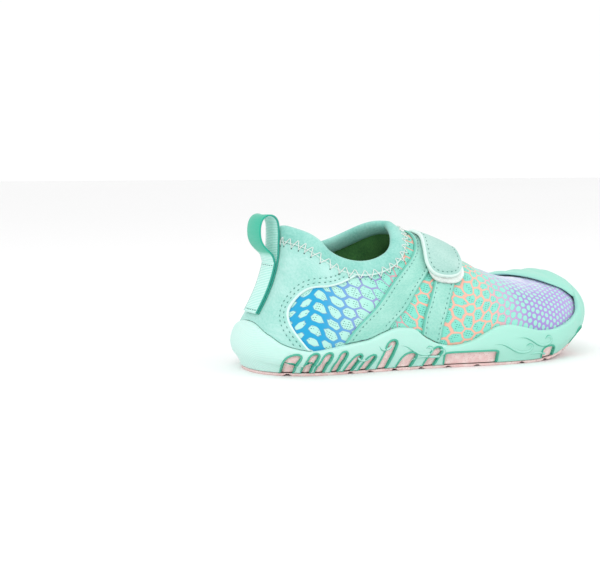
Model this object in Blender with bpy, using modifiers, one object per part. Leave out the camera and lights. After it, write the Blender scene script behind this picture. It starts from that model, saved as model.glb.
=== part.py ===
# Water shoe for the right foot: a sock upper on a moulded rubber cup and tread, closed by one strap.
# +X points to the toe, -Y to the outer (lateral) side, +Z up. The origin is the floor under the heel.
from functools import lru_cache

import bmesh
import bpy
import numpy as np

# Driving sizes
LENGTH = 0.198
BALL_WIDTH = 0.080
HEEL_HEIGHT = 0.066
TOE_SPRING = 0.015
SPRING_START = 0.70
HEEL_SEAT = 0.15

# Sole, measured up from the ground line
TREAD_FLANGE = 0.0013
RIM_UNDERSIDE = 0.0016
TREAD_TOP = 0.0035
FLOOR_UNDERSIDE = 0.0038
FLOOR_TOP = 0.0060
UPPER_HEM = 0.0063
RIM_WIDTH = 0.0050
SKIRT_HEIGHT = 0.0036
TREAD_INSET = 0.0007
GROOVE_WIDTH = 0.0024
GROOVE_DEPTH = 0.0016
NOTCH_HEIGHT = 0.0105
NOTCH_DEPTH = 0.0026
NOTCH_EASE = 0.0005
NOTCH_FOOT = 0.0004
NOTCH_SHOULDER = 0.0018
CUTTER_REACH = 0.0020
FINGER_FOOT = 0.0005
FINGER_RECESS = 0.0011
FINGER_THICKNESS = 0.0010
CREST_WIDTH = 0.0016
CREST_HEIGHT = 0.0006
CREST_ROOT = 0.0009
CREST_CURL = 0.0025

# Cloth and rubber
CLEARANCE = 0.0003
UPPER_WALL = 0.0020
INSOLE_THICKNESS = 0.0030
INSOLE_INSET = 0.0028
PANEL_THICKNESS = 0.0010
BINDING_THICKNESS = 0.0010
BINDING_DEPTH = 0.0065
BINDING_CROWN = 0.0018
BINDING_EASE = 0.0009
STRAP_THICKNESS = 0.0018
HOOK_THICKNESS = 0.0010
CUP_LIP = 0.0015
CAP_EASE = 0.0008
CUP_WALL = 0.0030
WEBBING_WIDTH = 0.0145
WEBBING_THICKNESS = 0.0007
WEBBING_GAP = 0.0004
LOOP_REACH = 0.0095
LOOP_FLATTENING = 0.014
LIP_MARGIN = 0.0009

# How finely each skin is divided
UPPER_ROWS = 8
CUP_INNER_ROWS = 8
STATIONS = (
    0.000, 0.020, 0.045, 0.070, 0.100, 0.130, 0.165, 0.200, 0.240, 0.280, 0.315, 0.345, 0.372, 0.390, 0.402,
    0.430, 0.465, 0.505, 0.545, 0.590, 0.630, 0.670, 0.700, 0.730, 0.760, 0.790, 0.815, 0.840,
    0.870, 0.900, 0.930, 0.965, 1.000,
)
THROAT = 0.402
CAP_FRONT = 0.900

# Foot line, where the upper meets the sole.
# station, along (x LENGTH), lateral half-width, medial half-width (x BALL_WIDTH)
FOOT_LINE = (
    (0.000, 0.028, 0.000, 0.000),
    (0.050, 0.043, 0.170, 0.170),
    (0.110, 0.100, 0.300, 0.290),
    (0.190, 0.185, 0.350, 0.330),
    (0.300, 0.300, 0.360, 0.300),
    (0.400, 0.405, 0.375, 0.275),
    (0.500, 0.505, 0.410, 0.300),
    (0.600, 0.605, 0.450, 0.370),
    (0.700, 0.705, 0.465, 0.430),
    (0.790, 0.795, 0.425, 0.445),
    (0.870, 0.870, 0.330, 0.420),
    (0.940, 0.930, 0.170, 0.340),
    (1.000, 0.955, 0.120, 0.120),
)

# Ridge line over the top of the last.
# station, along (x LENGTH), sideways (x BALL_WIDTH), height (x HEEL_HEIGHT)
RIDGE_LINE = (
    (0.00, 0.081, 0.000, 1.340),
    (0.05, 0.085, 0.000, 1.350),
    (0.10, 0.071, 0.000, 1.360),
    (0.20, 0.213, 0.000, 1.330),
    (0.30, 0.307, 0.000, 1.200),
    (0.40, 0.400, 0.000, 1.035),
    (0.50, 0.500, 0.004, 0.895),
    (0.60, 0.600, 0.012, 0.755),
    (0.70, 0.700, 0.030, 0.630),
    (0.80, 0.795, 0.055, 0.580),
    (0.88, 0.865, 0.080, 0.580),
    (0.95, 0.905, 0.100, 0.565),
    (1.00, 0.922, 0.105, 0.545),
)

# Ribs from the foot line to the ridge, each one Bezier curve.
# station, outward at the foot lateral, medial, upward at the foot (x rise),
# at the ridge: along (x LENGTH), lateral, medial (x BALL_WIDTH), drop (x rise)
RIBS = (
    (0.00, 0.114, 0.114, 0.240, 0.073, 0.000, 0.000, 0.66),
    (0.05, 0.148, 0.148, 0.185, 0.089, 0.264, 0.264, 0.75),
    (0.10, 0.137, 0.137, 0.075, 0.171, 0.283, 0.283, 0.35),
    (0.20, 0.100, 0.110, 0.288, -0.001, 0.226, 0.210, 0.35),
    (0.30, 0.080, 0.150, 0.320, -0.005, 0.270, 0.225, 0.20),
    (0.40, 0.080, 0.180, 0.360, 0.004, 0.262, 0.193, 0.10),
    (0.50, 0.100, 0.180, 0.420, 0.003, 0.257, 0.184, 0.00),
    (0.60, 0.110, 0.160, 0.460, 0.003, 0.286, 0.222, 0.00),
    (0.70, 0.130, 0.150, 0.500, 0.003, 0.327, 0.264, 0.00),
    (0.80, 0.150, 0.150, 0.540, 0.007, 0.320, 0.264, 0.00),
    (0.90, 0.180, 0.180, 0.560, 0.013, 0.243, 0.208, 0.00),
    (1.00, 0.240, 0.240, 0.560, 0.023, 0.000, 0.000, 0.00),
)

# Collar edge: station, height lateral, height medial (x HEEL_HEIGHT)
COLLAR_EDGE = (
    (0.000, 1.005, 1.005),
    (0.050, 1.015, 0.990),
    (0.100, 0.975, 0.955),
    (0.150, 0.890, 0.905),
    (0.200, 0.820, 0.865),
    (0.270, 0.768, 0.885),
    (0.330, 0.805, 0.970),
    (0.375, 0.905, 1.030),
    (0.402, 1.032, 1.032),
)

# Upper edge of the rubber cup: station, share of the rib lateral, medial.
# A medial share above 1 has passed over the ridge to the lateral side of the toe cap.
CUP_EDGE = (
    (0.000, 0.310, 0.310),
    (0.022, 0.316, 0.316),
    (0.052, 0.281, 0.281),
    (0.077, 0.213, 0.213),
    (0.107, 0.163, 0.163),
    (0.140, 0.125, 0.130),
    (0.198, 0.103, 0.110),
    (0.260, 0.118, 0.120),
    (0.307, 0.166, 0.150),
    (0.345, 0.194, 0.190),
    (0.378, 0.188, 0.205),
    (0.415, 0.125, 0.175),
    (0.448, 0.083, 0.120),
    (0.485, 0.066, 0.100),
    (0.527, 0.088, 0.130),
    (0.573, 0.156, 0.200),
    (0.605, 0.206, 0.270),
    (0.640, 0.226, 0.365),
    (0.680, 0.208, 0.485),
    (0.720, 0.182, 0.630),
    (0.760, 0.174, 0.830),
    (0.800, 0.182, 1.050),
    (0.840, 0.204, 1.300),
    (0.870, 0.240, 1.430),
    (0.900, 0.420, 1.580),
    (0.930, 0.580, 1.420),
    (0.965, 0.800, 1.200),
    (1.000, 1.000, 1.000),
)

# Outer side of the cup: station, outset of its bottom edge from the foot line (x CUP_WALL)
BOTTOM_OUTSET = (
    (0.00, 0.33),
    (0.20, 0.40),
    (0.50, 0.53),
    (0.70, 0.33),
    (0.85, -0.27),
    (1.00, -0.80),
)

# Openings in the lower edge of the cup that the tread's fingers fill:
# first station, last station, height (x NOTCH_HEIGHT), squareness of the top, lean (along per rise)
NOTCHES_LATERAL = (
    (0.076, 0.098, 1.00, 2.0, 0.30),
    (0.113, 0.130, 1.03, 2.0, 0.30),
    (0.139, 0.158, 1.03, 2.0, 0.35),
    (0.174, 0.191, 1.05, 2.0, 0.40),
    (0.203, 0.224, 0.88, 2.0, 0.60),
    (0.240, 0.262, 0.81, 2.0, 0.60),
    (0.288, 0.312, 1.43, 2.0, 0.35),
    (0.335, 0.372, 0.81, 2.5, 0.50),
    (0.404, 0.432, 1.00, 2.0, 0.50),
    (0.463, 0.600, 0.71, 7.0, 0.00),
    (0.735, 0.775, 0.71, 2.5, -0.30),
    (0.870, 0.905, 0.81, 2.5, -0.30),
)
NOTCHES_MEDIAL = (
    (0.080, 0.103, 1.00, 2.0, 0.30),
    (0.118, 0.136, 1.05, 2.0, 0.35),
    (0.147, 0.165, 1.00, 2.0, 0.35),
    (0.180, 0.200, 1.10, 2.0, 0.40),
    (0.214, 0.236, 0.86, 2.0, 0.60),
    (0.262, 0.290, 1.38, 2.0, 0.35),
    (0.325, 0.362, 0.86, 2.5, 0.50),
    (0.395, 0.425, 1.00, 2.0, 0.50),
    (0.460, 0.620, 0.71, 7.0, 0.00),
    (0.720, 0.760, 0.71, 2.5, -0.30),
)

# Raised wave crests on the cup's side: first station, last station, height at the crest and
# in the trough as a share of the side's own height there
CRESTS = (
    (0.345, 0.398, 0.88, 0.62),
    (0.580, 0.665, 0.84, 0.50),
    (0.680, 0.742, 0.80, 0.70),
)

# Transverse grooves under the tread: station at the middle, forward sweep at the sides (x LENGTH)
GROOVES = (
    (0.085, -0.020),
    (0.215, 0.020),
    (0.265, 0.020),
    (0.330, 0.020),
    (0.400, 0.020),
    (0.470, 0.020),
    (0.545, 0.020),
    (0.690, -0.020),
    (0.765, -0.020),
    (0.840, -0.020),
)

# Window in the heel panel: station, share of the rib at its lower edge, at its upper edge
PANEL_WINDOW = (
    (0.062, 0.495, 0.495),
    (0.068, 0.420, 0.525),
    (0.080, 0.345, 0.528),
    (0.100, 0.250, 0.500),
    (0.118, 0.180, 0.478),
    (0.145, 0.110, 0.457),
    (0.175, 0.100, 0.452),
    (0.205, 0.100, 0.456),
    (0.247, 0.100, 0.483),
    (0.278, 0.100, 0.498),
    (0.300, 0.100, 0.508),
)
PANEL_FOOT_END = 0.118

# Bands on the upper, row by row: station and share of the rib at the rear edge, at the front edge
SADDLE_BAND = (
    (0.190, 0.050, 0.305, 0.120),
    (0.235, 0.185, 0.330, 0.215),
    (0.285, 0.296, 0.367, 0.300),
    (0.328, 0.419, 0.405, 0.419),
    (0.378, 0.550, 0.440, 0.520),
    (0.418, 0.663, 0.472, 0.640),
    (0.440, 0.780, 0.495, 0.770),
    (0.450, 0.890, 0.507, 0.885),
    (0.453, 1.000, 0.510, 1.000),
)
FRONT_BAND_LATERAL = (
    (0.402, 0.080, 0.450, 0.040),
    (0.413, 0.235, 0.462, 0.180),
    (0.427, 0.320, 0.476, 0.270),
    (0.442, 0.400, 0.492, 0.370),
    (0.457, 0.480, 0.510, 0.470),
    (0.468, 0.560, 0.520, 0.560),
    (0.474, 0.620, 0.526, 0.620),
)
FRONT_BAND_MEDIAL = (
    (0.420, 0.080, 0.490, 0.050),
    (0.428, 0.250, 0.497, 0.220),
    (0.437, 0.340, 0.505, 0.320),
    (0.448, 0.430, 0.512, 0.420),
    (0.460, 0.520, 0.521, 0.515),
    (0.473, 0.610, 0.530, 0.610),
)

# Strap and the hook pad under its end, across the instep from the lateral end:
# station at the rear edge, at the front edge, share of the rib lateral (above 1 is medial)
STRAP = (
    (0.466, 0.494, 0.500),
    (0.453, 0.509, 0.512),
    (0.443, 0.524, 0.540),
    (0.438, 0.537, 0.590),
    (0.441, 0.545, 0.650),
    (0.447, 0.549, 0.720),
    (0.454, 0.554, 0.800),
    (0.461, 0.559, 0.900),
    (0.466, 0.562, 1.000),
    (0.467, 0.560, 1.100),
    (0.466, 0.555, 1.200),
    (0.463, 0.546, 1.300),
    (0.459, 0.538, 1.400),
    (0.456, 0.530, 1.460),
)
HOOK_PAD = (
    (0.468, 0.502, 0.472),
    (0.456, 0.518, 0.486),
    (0.448, 0.531, 0.515),
    (0.445, 0.543, 0.560),
    (0.446, 0.550, 0.620),
    (0.450, 0.552, 0.680),
)
STRAP_ROWS_OVER_HOOK = 7

# Pull webbing up the heel, round its loop and down over itself: height (x HEEL_HEIGHT),
# stand-off behind the heel (x LOOP_REACH)
WEBBING_PATH = (
    (0.400, 0.00),
    (0.480, 0.00),
    (0.560, 0.00),
    (0.640, 0.00),
    (0.720, 0.00),
    (0.800, 0.00),
    (0.880, 0.04),
    (0.960, 0.06),
    (1.030, 0.09),
    (1.075, 0.16),
    (1.105, 0.33),
    (1.112, 0.55),
    (1.095, 0.78),
    (1.050, 0.95),
    (0.990, 1.00),
    (0.930, 0.93),
    (0.885, 0.74),
    (0.852, 0.51),
    (0.820, 0.29),
    (0.780, 0.16),
    (0.730, 0.00),
    (0.650, 0.00),
    (0.570, 0.00),
    (0.490, 0.00),
    (0.405, 0.00),
)

# Colours, roughness
COLOURS = {
    "upper": ("#7fcdbd", 0.85),
    "heel_panel": ("#9fd8cc", 0.80),
    "collar_binding": ("#7cc4b6", 0.85),
    "saddle_band": ("#9dd3c6", 0.80),
    "front_band_lateral": ("#9ad5c3", 0.80),
    "front_band_medial": ("#9ad5c3", 0.80),
    "strap": ("#a5cdc4", 0.85),
    "hook_pad": ("#e6ece8", 0.95),
    "pull_webbing": ("#8fd9cc", 0.75),
    "insole": ("#488a4d", 0.95),
    "sole_cup": ("#b3e3d5", 0.55),
    "tread": ("#e7cdcc", 0.60),
}


def linear(value):
    """One sRGB channel as linear light."""
    if value <= 0.04045:
        return value / 12.92
    return ((value + 0.055) / 1.055) ** 2.4


def material(name):
    """A Principled material with the piece's own colour."""
    code, roughness = COLOURS[name]
    mat = bpy.data.materials.new(name + "_material")
    mat.use_nodes = True
    shader = mat.node_tree.nodes["Principled BSDF"]
    channels = [linear(int(code[i:i + 2], 16) / 255) for i in (1, 3, 5)]
    shader.inputs["Base Color"].default_value = (*channels, 1.0)
    shader.inputs["Roughness"].default_value = roughness
    return mat


# Curves and the last's surface

def spline(knots, rows, period=None):
    """A smooth cubic curve through the rows, natural at its ends or closed over a period."""
    x = np.asarray(knots, float)
    y = np.asarray(rows, float)
    if y.ndim == 1:
        y = y[:, None]
    count = len(x)
    if period:
        x = np.append(x, x[0] + period)
        y = np.vstack([y, y[:1]])
    step = np.diff(x)
    matrix = np.eye(count)
    right = np.zeros((count, y.shape[1]))
    inner = range(count) if period else range(1, count - 1)
    for i in inner:
        before = (i - 1) % count
        matrix[i] = 0
        matrix[i, before] += step[before]
        matrix[i, i] += 2 * (step[before] + step[i])
        matrix[i, (i + 1) % count] += step[i]
        right[i] = 6 * ((y[i + 1] - y[i]) / step[i] - (y[i] - y[before]) / step[before])
    bend = np.linalg.solve(matrix, right)
    if period:
        bend = np.vstack([bend, bend[:1]])

    def at(u):
        u = np.atleast_1d(np.asarray(u, float))
        if period:
            u = x[0] + np.mod(u - x[0], period)
        i = np.clip(np.searchsorted(x, u, side="right") - 1, 0, len(x) - 2)
        left = (x[i + 1] - u)[:, None]
        rest = (u - x[i])[:, None]
        h = step[i][:, None]
        curve = (bend[i] * left**3 + bend[i + 1] * rest**3) / (6 * h)
        return curve + (y[i] / h - bend[i] * h / 6) * left + (y[i + 1] / h - bend[i + 1] * h / 6) * rest

    return at


def around(rows):
    """A closed table from station rows: lateral side out to the toe, medial side back."""
    table = [(s, *lateral) for s, lateral, medial in rows]
    table += [(2 - s, *medial) for s, lateral, medial in reversed(rows[1:-1])]
    return spline([r[0] for r in table], [r[1:] for r in table], 2.0)


def foot_rows():
    rows = []
    for s, along, lateral, medial in FOOT_LINE:
        x = (along - HEEL_SEAT) * LENGTH
        tip = s >= 1.0
        rows.append((s, (x, (medial if tip else -lateral) * BALL_WIDTH), (x, medial * BALL_WIDTH)))
    return rows


def ridge_rows():
    rows = []
    for s, along, sideways, height in RIDGE_LINE:
        point = ((along - HEEL_SEAT) * LENGTH, sideways * BALL_WIDTH, height * HEEL_HEIGHT)
        rows.append((s, point, point))
    return rows


def rib_rows():
    rows = []
    for s, out_lateral, out_medial, up, along, lateral, medial, drop in RIBS:
        rows.append((s, (out_lateral, up, along, -lateral, drop), (out_medial, up, along, medial, drop)))
    return rows


foot_curve = around(foot_rows())
ridge_curve = around(ridge_rows())
rib_curve = around(rib_rows())
collar_curve = spline(
    [-row[0] for row in reversed(COLLAR_EDGE[1:])] + [row[0] for row in COLLAR_EDGE],
    [row[2] for row in reversed(COLLAR_EDGE[1:])] + [row[1] for row in COLLAR_EDGE],
)


def ground(x):
    """Height of the ground line: flat, then the toe spring."""
    share = np.clip((x / LENGTH + HEEL_SEAT - SPRING_START) / (1 - SPRING_START), 0, None)
    return TOE_SPRING * share**2


def fold(s, w):
    """Stations run on past the heel and the toe onto the other side."""
    s, w = np.broadcast_arrays(np.atleast_1d(np.asarray(s, float)), np.atleast_1d(np.asarray(w, float)))
    w = np.where((s < 0) | (s > 1), 2 - w, w)
    s = np.where(s < 0, -s, np.where(s > 1, 2 - s, s))
    return s, w


def foot_normal(u):
    """Outward direction of the foot line in plan."""
    step = foot_curve(u + 1e-4) - foot_curve(u - 1e-4)
    step /= np.linalg.norm(step, axis=1)[:, None]
    return np.column_stack([step[:, 1], -step[:, 0], 0 * step[:, 0]])


def skin(s, w):
    """The last's surface. w is 0 at the lateral foot line, 1 on the ridge, 2 at the medial foot line."""
    s, w = fold(s, w)
    lateral = w <= 1
    u = np.where(lateral, s, 2 - s)
    v = np.where(lateral, w, 2 - w)[:, None]
    foot = foot_curve(u)
    foot = np.column_stack([foot, ground(foot[:, 0]) + UPPER_HEM])
    ridge = ridge_curve(s)
    handle = rib_curve(u)
    rise = (ridge - foot)[:, 2:3]
    up = np.array([0, 0, 1.0])
    inner = np.clip(s, 0.02, 0.98)
    run = ridge_curve(inner + 1e-3) - ridge_curve(inner - 1e-3)
    slope = (run[:, 2] / run[:, 0] * np.clip((s - 0.2) / 0.2, 0, 1))[:, None]
    low = foot + foot_normal(u) * handle[:, 0:1] * rise + up * handle[:, 1:2] * rise
    pull = np.column_stack([handle[:, 2] * LENGTH, handle[:, 3] * BALL_WIDTH, 0 * s])
    high = ridge + pull + up * (slope * pull[:, :1] - handle[:, 4:5] * rise)
    return foot * (1 - v)**3 + 3 * low * v * (1 - v)**2 + 3 * high * v**2 * (1 - v) + ridge * v**3


def skin_slopes(s, w):
    """How the surface runs along its stations and across its ribs."""
    step = 5e-4
    along = (skin(s + step, w) - skin(s - step, w)) / (2 * step)
    across = (skin(s, w + step) - skin(s, w - step)) / (2 * step)
    return along, across


def skin_normal(s, w):
    """Outward direction of the surface; the ridge's two ends borrow it from just beside them."""
    beside = np.where(np.abs(w - 1) < 0.02, np.clip(s, 0.015, 0.985), s)
    along, across = skin_slopes(beside, w)
    normal = np.cross(along, across)
    return normal / np.linalg.norm(normal, axis=1)[:, None]


def last(s, w, stand_off=0.0):
    """Points a given distance off the last, outward positive."""
    s, w = np.broadcast_arrays(np.atleast_1d(np.asarray(s, float)), np.atleast_1d(np.asarray(w, float)))
    return skin(s, w) + skin_normal(s, w) * np.reshape(stand_off, (-1, 1))


def share_at(s, height, medial=False):
    """Where the rib at a station reaches a height."""
    s = np.atleast_1d(np.asarray(s, float))
    low = np.zeros(len(s))
    high = np.ones(len(s))
    for _ in range(32):
        middle = (low + high) / 2
        below = skin(s, 2 - middle if medial else middle)[:, 2] < height
        low = np.where(below, middle, low)
        high = np.where(below, high, middle)
    return (low + high) / 2


@lru_cache(maxsize=None)
def collar_share(s, medial):
    """Share of the rib at the collar's edge, 1 where the last is covered."""
    if s >= THROAT - 1e-9:
        return 1.0
    height = collar_curve(-s if medial else s)[0, 0] * HEEL_HEIGHT
    return float(share_at(s, height, medial)[0])


def table_share(table, s, column):
    return float(np.interp(s, [row[0] for row in table], [row[column] for row in table]))


cup_edge_curve = [spline([r[0] for r in CUP_EDGE], [r[c] for r in CUP_EDGE]) for c in (1, 2)]


@lru_cache(maxsize=None)
def cup_share(s, medial):
    """Share of the rib at the cup's upper edge."""
    if s > 0.84:
        return table_share(CUP_EDGE, s, 2 if medial else 1)
    return float(cup_edge_curve[1 if medial else 0](s)[0, 0])


def cup_lip_share(s, medial):
    """Share of the rib at the cup's edge as it runs straight between the stations."""
    return float(np.interp(s, STATIONS, [cup_share(station, medial) for station in STATIONS]))


def over_toe(s, medial):
    """How far a place is part of the toe cap, from 0 on the side wall to 1."""
    share = np.clip((cup_share(s, True) - 0.25) / 0.35, 0, 1) if medial else 0.0
    return float(max(share, np.clip((s - 0.80) / 0.08, 0, 1)))


def bottom_ring(u, outset_extra=0.0):
    """The cup's bottom edge in plan: the foot line moved outward."""
    u = np.atleast_1d(np.asarray(u, float))
    s = np.where(u <= 1, u, 2 - u)
    share = np.interp(s, [r[0] for r in BOTTOM_OUTSET], [r[1] for r in BOTTOM_OUTSET])
    outset = share * CUP_WALL + outset_extra
    foot = foot_curve(u)
    points = np.column_stack([foot, 0 * u]) + foot_normal(u) * outset[:, None]
    return points


def at_height(points, height):
    """Plan points lifted to a height above the ground line."""
    return np.column_stack([points[:, :2], ground(points[:, 0]) + height])


# The cup's outer side, from its lip down: share of the covered rib, stand-off as a share of CUP_WALL
CUP_SIDE = (
    (1.00, None),
    (0.94, 0.84),
    (0.78, 0.97),
    (0.58, 1.04),
    (0.38, 1.06),
    (0.18, 1.00),
)


@lru_cache(maxsize=None)
def cup_side(u):
    """Outer side of the cup at one place, from the lip down to the bottom edge."""
    medial = u > 1
    s = 2 - u if medial else u
    edge = cup_share(s, medial)
    solid_cap = np.clip((s - CAP_FRONT) / 0.03, 0, 1)
    lip = CLEARANCE + CUP_LIP + (CUP_WALL - CUP_LIP) * solid_cap
    v = edge * np.array([share for share, swell in CUP_SIDE])
    swells = [lip if swell is None else max(CLEARANCE + swell * CUP_WALL, lip) for share, swell in CUP_SIDE]
    rows = list(last(s, 2 - v if medial else v, np.array(swells)))
    foot_swell = bottom_ring(u, 0)[0]
    out = foot_normal(np.array([u]))[0]
    foot = np.append(foot_curve(u)[0], 0.0)
    full = foot + out * (CLEARANCE + CUP_WALL * 0.93)
    for mix, height in ((0.22, RIM_UNDERSIDE + SKIRT_HEIGHT), (1.0, RIM_UNDERSIDE)):
        plan = full * (1 - mix) + foot_swell * mix
        rows.append(np.array([plan[0], plan[1], ground(plan[0]) + height]))
    return np.array(rows)


def side_point(u, height, stand_off=0.0):
    """A point on the cup's outer side at a height above the ground line, moved outward."""
    rows = cup_side(u)[::-1]
    rise = rows[:, 2] - ground(rows[:, 0])
    point = np.array([np.interp(height, rise, rows[:, k]) for k in range(3)])
    out = foot_normal(np.array([u]))[0]
    point[2] = ground(point[0]) + height
    return point + out * stand_off


# Meshes

def new_object(name, mesh, hidden=False):
    part = bpy.data.objects.new(name, mesh)
    if hidden:
        cutters.objects.link(part)
        part.hide_render = True
        part.display_type = "WIRE"
    else:
        shoe.objects.link(part)
        mesh.materials.append(material(name))
    return part


def finish(bm, name, hidden=False):
    """Weld the seams and make an object of the mesh."""
    bmesh.ops.remove_doubles(bm, verts=bm.verts, dist=1e-5)
    bmesh.ops.dissolve_degenerate(bm, edges=bm.edges, dist=1e-6)
    mesh = bpy.data.meshes.new(name)
    bm.to_mesh(mesh)
    bm.free()
    mesh.shade_smooth()
    mesh.set_sharp_from_angle(angle=0.7)
    return new_object(name, mesh, hidden)


def add_sheet(bm, columns, closed=False, flip=False):
    """Quads between neighbouring columns of points, facing outward."""
    rows = [[bm.verts.new(p) for p in column] for column in columns]
    count = len(rows) if closed else len(rows) - 1
    for i in range(count):
        a = rows[i]
        b = rows[(i + 1) % len(rows)]
        for j in range(len(a) - 1):
            face = [a[j], b[j], b[j + 1], a[j + 1]]
            bm.faces.new(reversed(face) if flip else face)
    return rows


def add_strip(bm, first, second):
    """One row of quads between two lines of vertices."""
    for j in range(len(first) - 1):
        bm.faces.new([first[j], first[j + 1], second[j + 1], second[j]])


def shell(name, sheets, thickness, offset):
    """A cloth piece: open sheets, welded and given a thickness."""
    bm = bmesh.new()
    for columns, closed in sheets:
        add_sheet(bm, columns, closed)
    part = finish(bm, name)
    solidify = part.modifiers.new("thickness", "SOLIDIFY")
    solidify.thickness = thickness
    solidify.offset = offset
    solidify.use_even_offset = True
    return part


def slab(name, front, back, hidden=False, triangles=False):
    """A closed piece between two matching grids of points, front facing outward."""
    bm = bmesh.new()
    a = add_sheet(bm, front)
    b = add_sheet(bm, back, flip=True)
    add_strip(bm, [c[0] for c in b], [c[0] for c in a])
    add_strip(bm, [c[-1] for c in a], [c[-1] for c in b])
    add_strip(bm, a[0], b[0])
    add_strip(bm, b[-1], a[-1])
    bmesh.ops.recalc_face_normals(bm, faces=bm.faces)
    if triangles:
        bmesh.ops.triangulate(bm, faces=bm.faces)
    return finish(bm, name, hidden)


def cut(part, cutter, operation="DIFFERENCE"):
    modifier = part.modifiers.new(operation.lower(), "BOOLEAN")
    modifier.operation = operation
    modifier.solver = "EXACT"
    modifier.object = cutter


def loop_stations():
    """Places round the shoe: lateral side out to the toe, medial side back."""
    return list(STATIONS) + [2 - s for s in reversed(STATIONS[1:-1])]


def split(u):
    """Station and side of a place round the shoe."""
    return (2 - u, True) if u > 1 else (u, False)


# Pieces

def make_upper():
    """The sock: one wall over the whole last, open at the collar and underneath."""
    columns = []
    for u in loop_stations():
        s, medial = split(u)
        v = np.linspace(0, collar_share(s, medial), UPPER_ROWS + 1)
        columns.append(last(s, 2 - v if medial else v))
    return shell("upper", [(columns, True)], UPPER_WALL, -1)


def walk(s, w, direction, length, steps=4):
    """A place on the last reached by walking over its surface."""
    for _ in range(steps):
        along, across = skin_slopes(np.array([s]), np.array([w]))
        move = direction * length / steps
        frame = np.column_stack([along[0], across[0]])
        ds, dw = np.linalg.lstsq(frame, move, rcond=None)[0]
        s, w = s + ds, w + dw
    return s, w


def collar_places():
    """Stations and shares round the collar's edge, lateral heel to throat to medial heel."""
    places = []
    between = (THROAT + max(s for s in STATIONS if s < THROAT)) / 2
    for u in sorted(loop_stations() + [between, 2 - between]):
        s, medial = split(u)
        if s <= THROAT + 1e-9:
            v = collar_share(s, medial)
            places.append((s, 2 - v if medial else v))
    return places


def make_collar_binding():
    """A padded edge folded over the collar."""
    places = collar_places()
    count = len(places)
    edge = np.array([last(s, w)[0] for s, w in places])
    top = BINDING_THICKNESS
    outside = BINDING_EASE
    inside = -(UPPER_WALL + 2 * BINDING_EASE)
    middle = (outside + inside) / 2
    half = outside + top - middle
    section = [
        (BINDING_DEPTH, outside), (BINDING_DEPTH, outside + top * 0.8), (BINDING_DEPTH / 2, outside + top),
    ]
    for turn in (0.0, np.pi / 4, np.pi / 2, np.pi * 3 / 4, np.pi):
        section.append((-BINDING_CROWN * np.sin(turn), middle + half * np.cos(turn)))
    section += [
        (BINDING_DEPTH * 0.9, inside - top * 0.8), (BINDING_DEPTH * 0.9, inside),
        (-BINDING_EASE, inside), (-BINDING_EASE, outside), (BINDING_DEPTH / 2, outside),
    ]
    columns = []
    for i, (s, w) in enumerate(places):
        tangent = edge[(i + 1) % count] - edge[i - 1]
        along, across = skin_slopes(np.array([s]), np.array([w]))
        normal = np.cross(along, across)[0]
        normal /= np.linalg.norm(normal)
        down = np.cross(tangent, normal)
        down /= np.linalg.norm(down)
        if down[2] > 0:
            down = -down
        rib = across[0] / np.linalg.norm(across[0])
        slant = np.dot(rib, down)
        course = rib / slant if abs(slant) > 0.75 else down
        reached = {}
        column = []
        for depth, stand_off in section:
            if depth > 0:
                if depth not in reached:
                    reached[depth] = walk(s, w, course, depth)
                column.append(last(*reached[depth], stand_off)[0])
            else:
                column.append(edge[i] + down * depth + normal * stand_off)
        columns.append(column)
    bm = bmesh.new()
    add_sheet(bm, [c + c[:1] for c in columns], closed=True)
    bmesh.ops.remove_doubles(bm, verts=bm.verts, dist=1e-6)
    bmesh.ops.recalc_face_normals(bm, faces=bm.faces)
    return finish(bm, "collar_binding")


def binding_share(s, medial):
    """Share of the rib just below the collar binding, with a clearance."""
    edge = collar_share(s, medial)
    w = 2 - edge if medial else edge
    step = 1e-3
    near = [collar_share(s + d, medial) for d in (-step, step)] if s > step else [edge, edge]
    points = [last(abs(s + d), 2 - v if medial else v)[0] for d, v in zip((-step, step), near)]
    tangent = points[1] - points[0]
    if s <= step:
        tangent = np.array([0.0, 1.0, 0.0])
    along, across = skin_slopes(np.array([s]), np.array([w]))
    normal = np.cross(along, across)[0]
    normal /= np.linalg.norm(normal)
    down = np.cross(tangent, normal)
    down /= np.linalg.norm(down)
    if down[2] > 0:
        down = -down
    rib = across[0] / np.linalg.norm(across[0])
    slant = abs(np.dot(rib, down))
    length = (BINDING_DEPTH + 1.5 * CLEARANCE) / max(slant, 0.35)
    w = walk(s, w, -rib if not medial else rib, length)[1]
    return 2 - w if medial else w


def make_heel_panel():
    """Neoprene round the heel: full height behind, two arms round a window on each side."""
    first = PANEL_WINDOW[0]
    full = [s for s in STATIONS if s < first[0]] + [first[0]]
    sheets = []
    lower_rows = 3
    upper_rows = 3

    def column(s, medial, low, high, rows):
        v = np.linspace(low, high, rows + 1)
        return last(s, 2 - v if medial else v, CLEARANCE)

    def sill(s, medial):
        return cup_lip_share(s, medial) + LIP_MARGIN / HEEL_HEIGHT

    for rows, low, high in (
        (lower_rows, sill, lambda s, m: first[1]),
        (upper_rows, lambda s, m: first[1], binding_share),
    ):
        back = []
        for s in reversed(full[1:]):
            back.append(column(s, True, low(s, True), high(s, True), rows))
        for s in full:
            back.append(column(s, False, low(s, False), high(s, False), rows))
        sheets.append((back, False))
    for medial in (False, True):
        foot_arm = [column(first[0], medial, sill(first[0], medial), first[1], lower_rows)]
        top_arm = [column(first[0], medial, first[1], binding_share(first[0], medial), upper_rows)]
        for s, low, high in PANEL_WINDOW[1:]:
            if s <= PANEL_FOOT_END:
                foot_arm.append(column(s, medial, sill(s, medial), low, lower_rows))
            top = binding_share(s, medial)
            if top - high > 0.012:
                top_arm.append(column(s, medial, high, top, upper_rows))
        if medial:
            foot_arm.reverse()
            top_arm.reverse()
        sheets.append((foot_arm, False))
        sheets.append((top_arm, False))
    return shell("heel_panel", sheets, PANEL_THICKNESS, 1)


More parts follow.
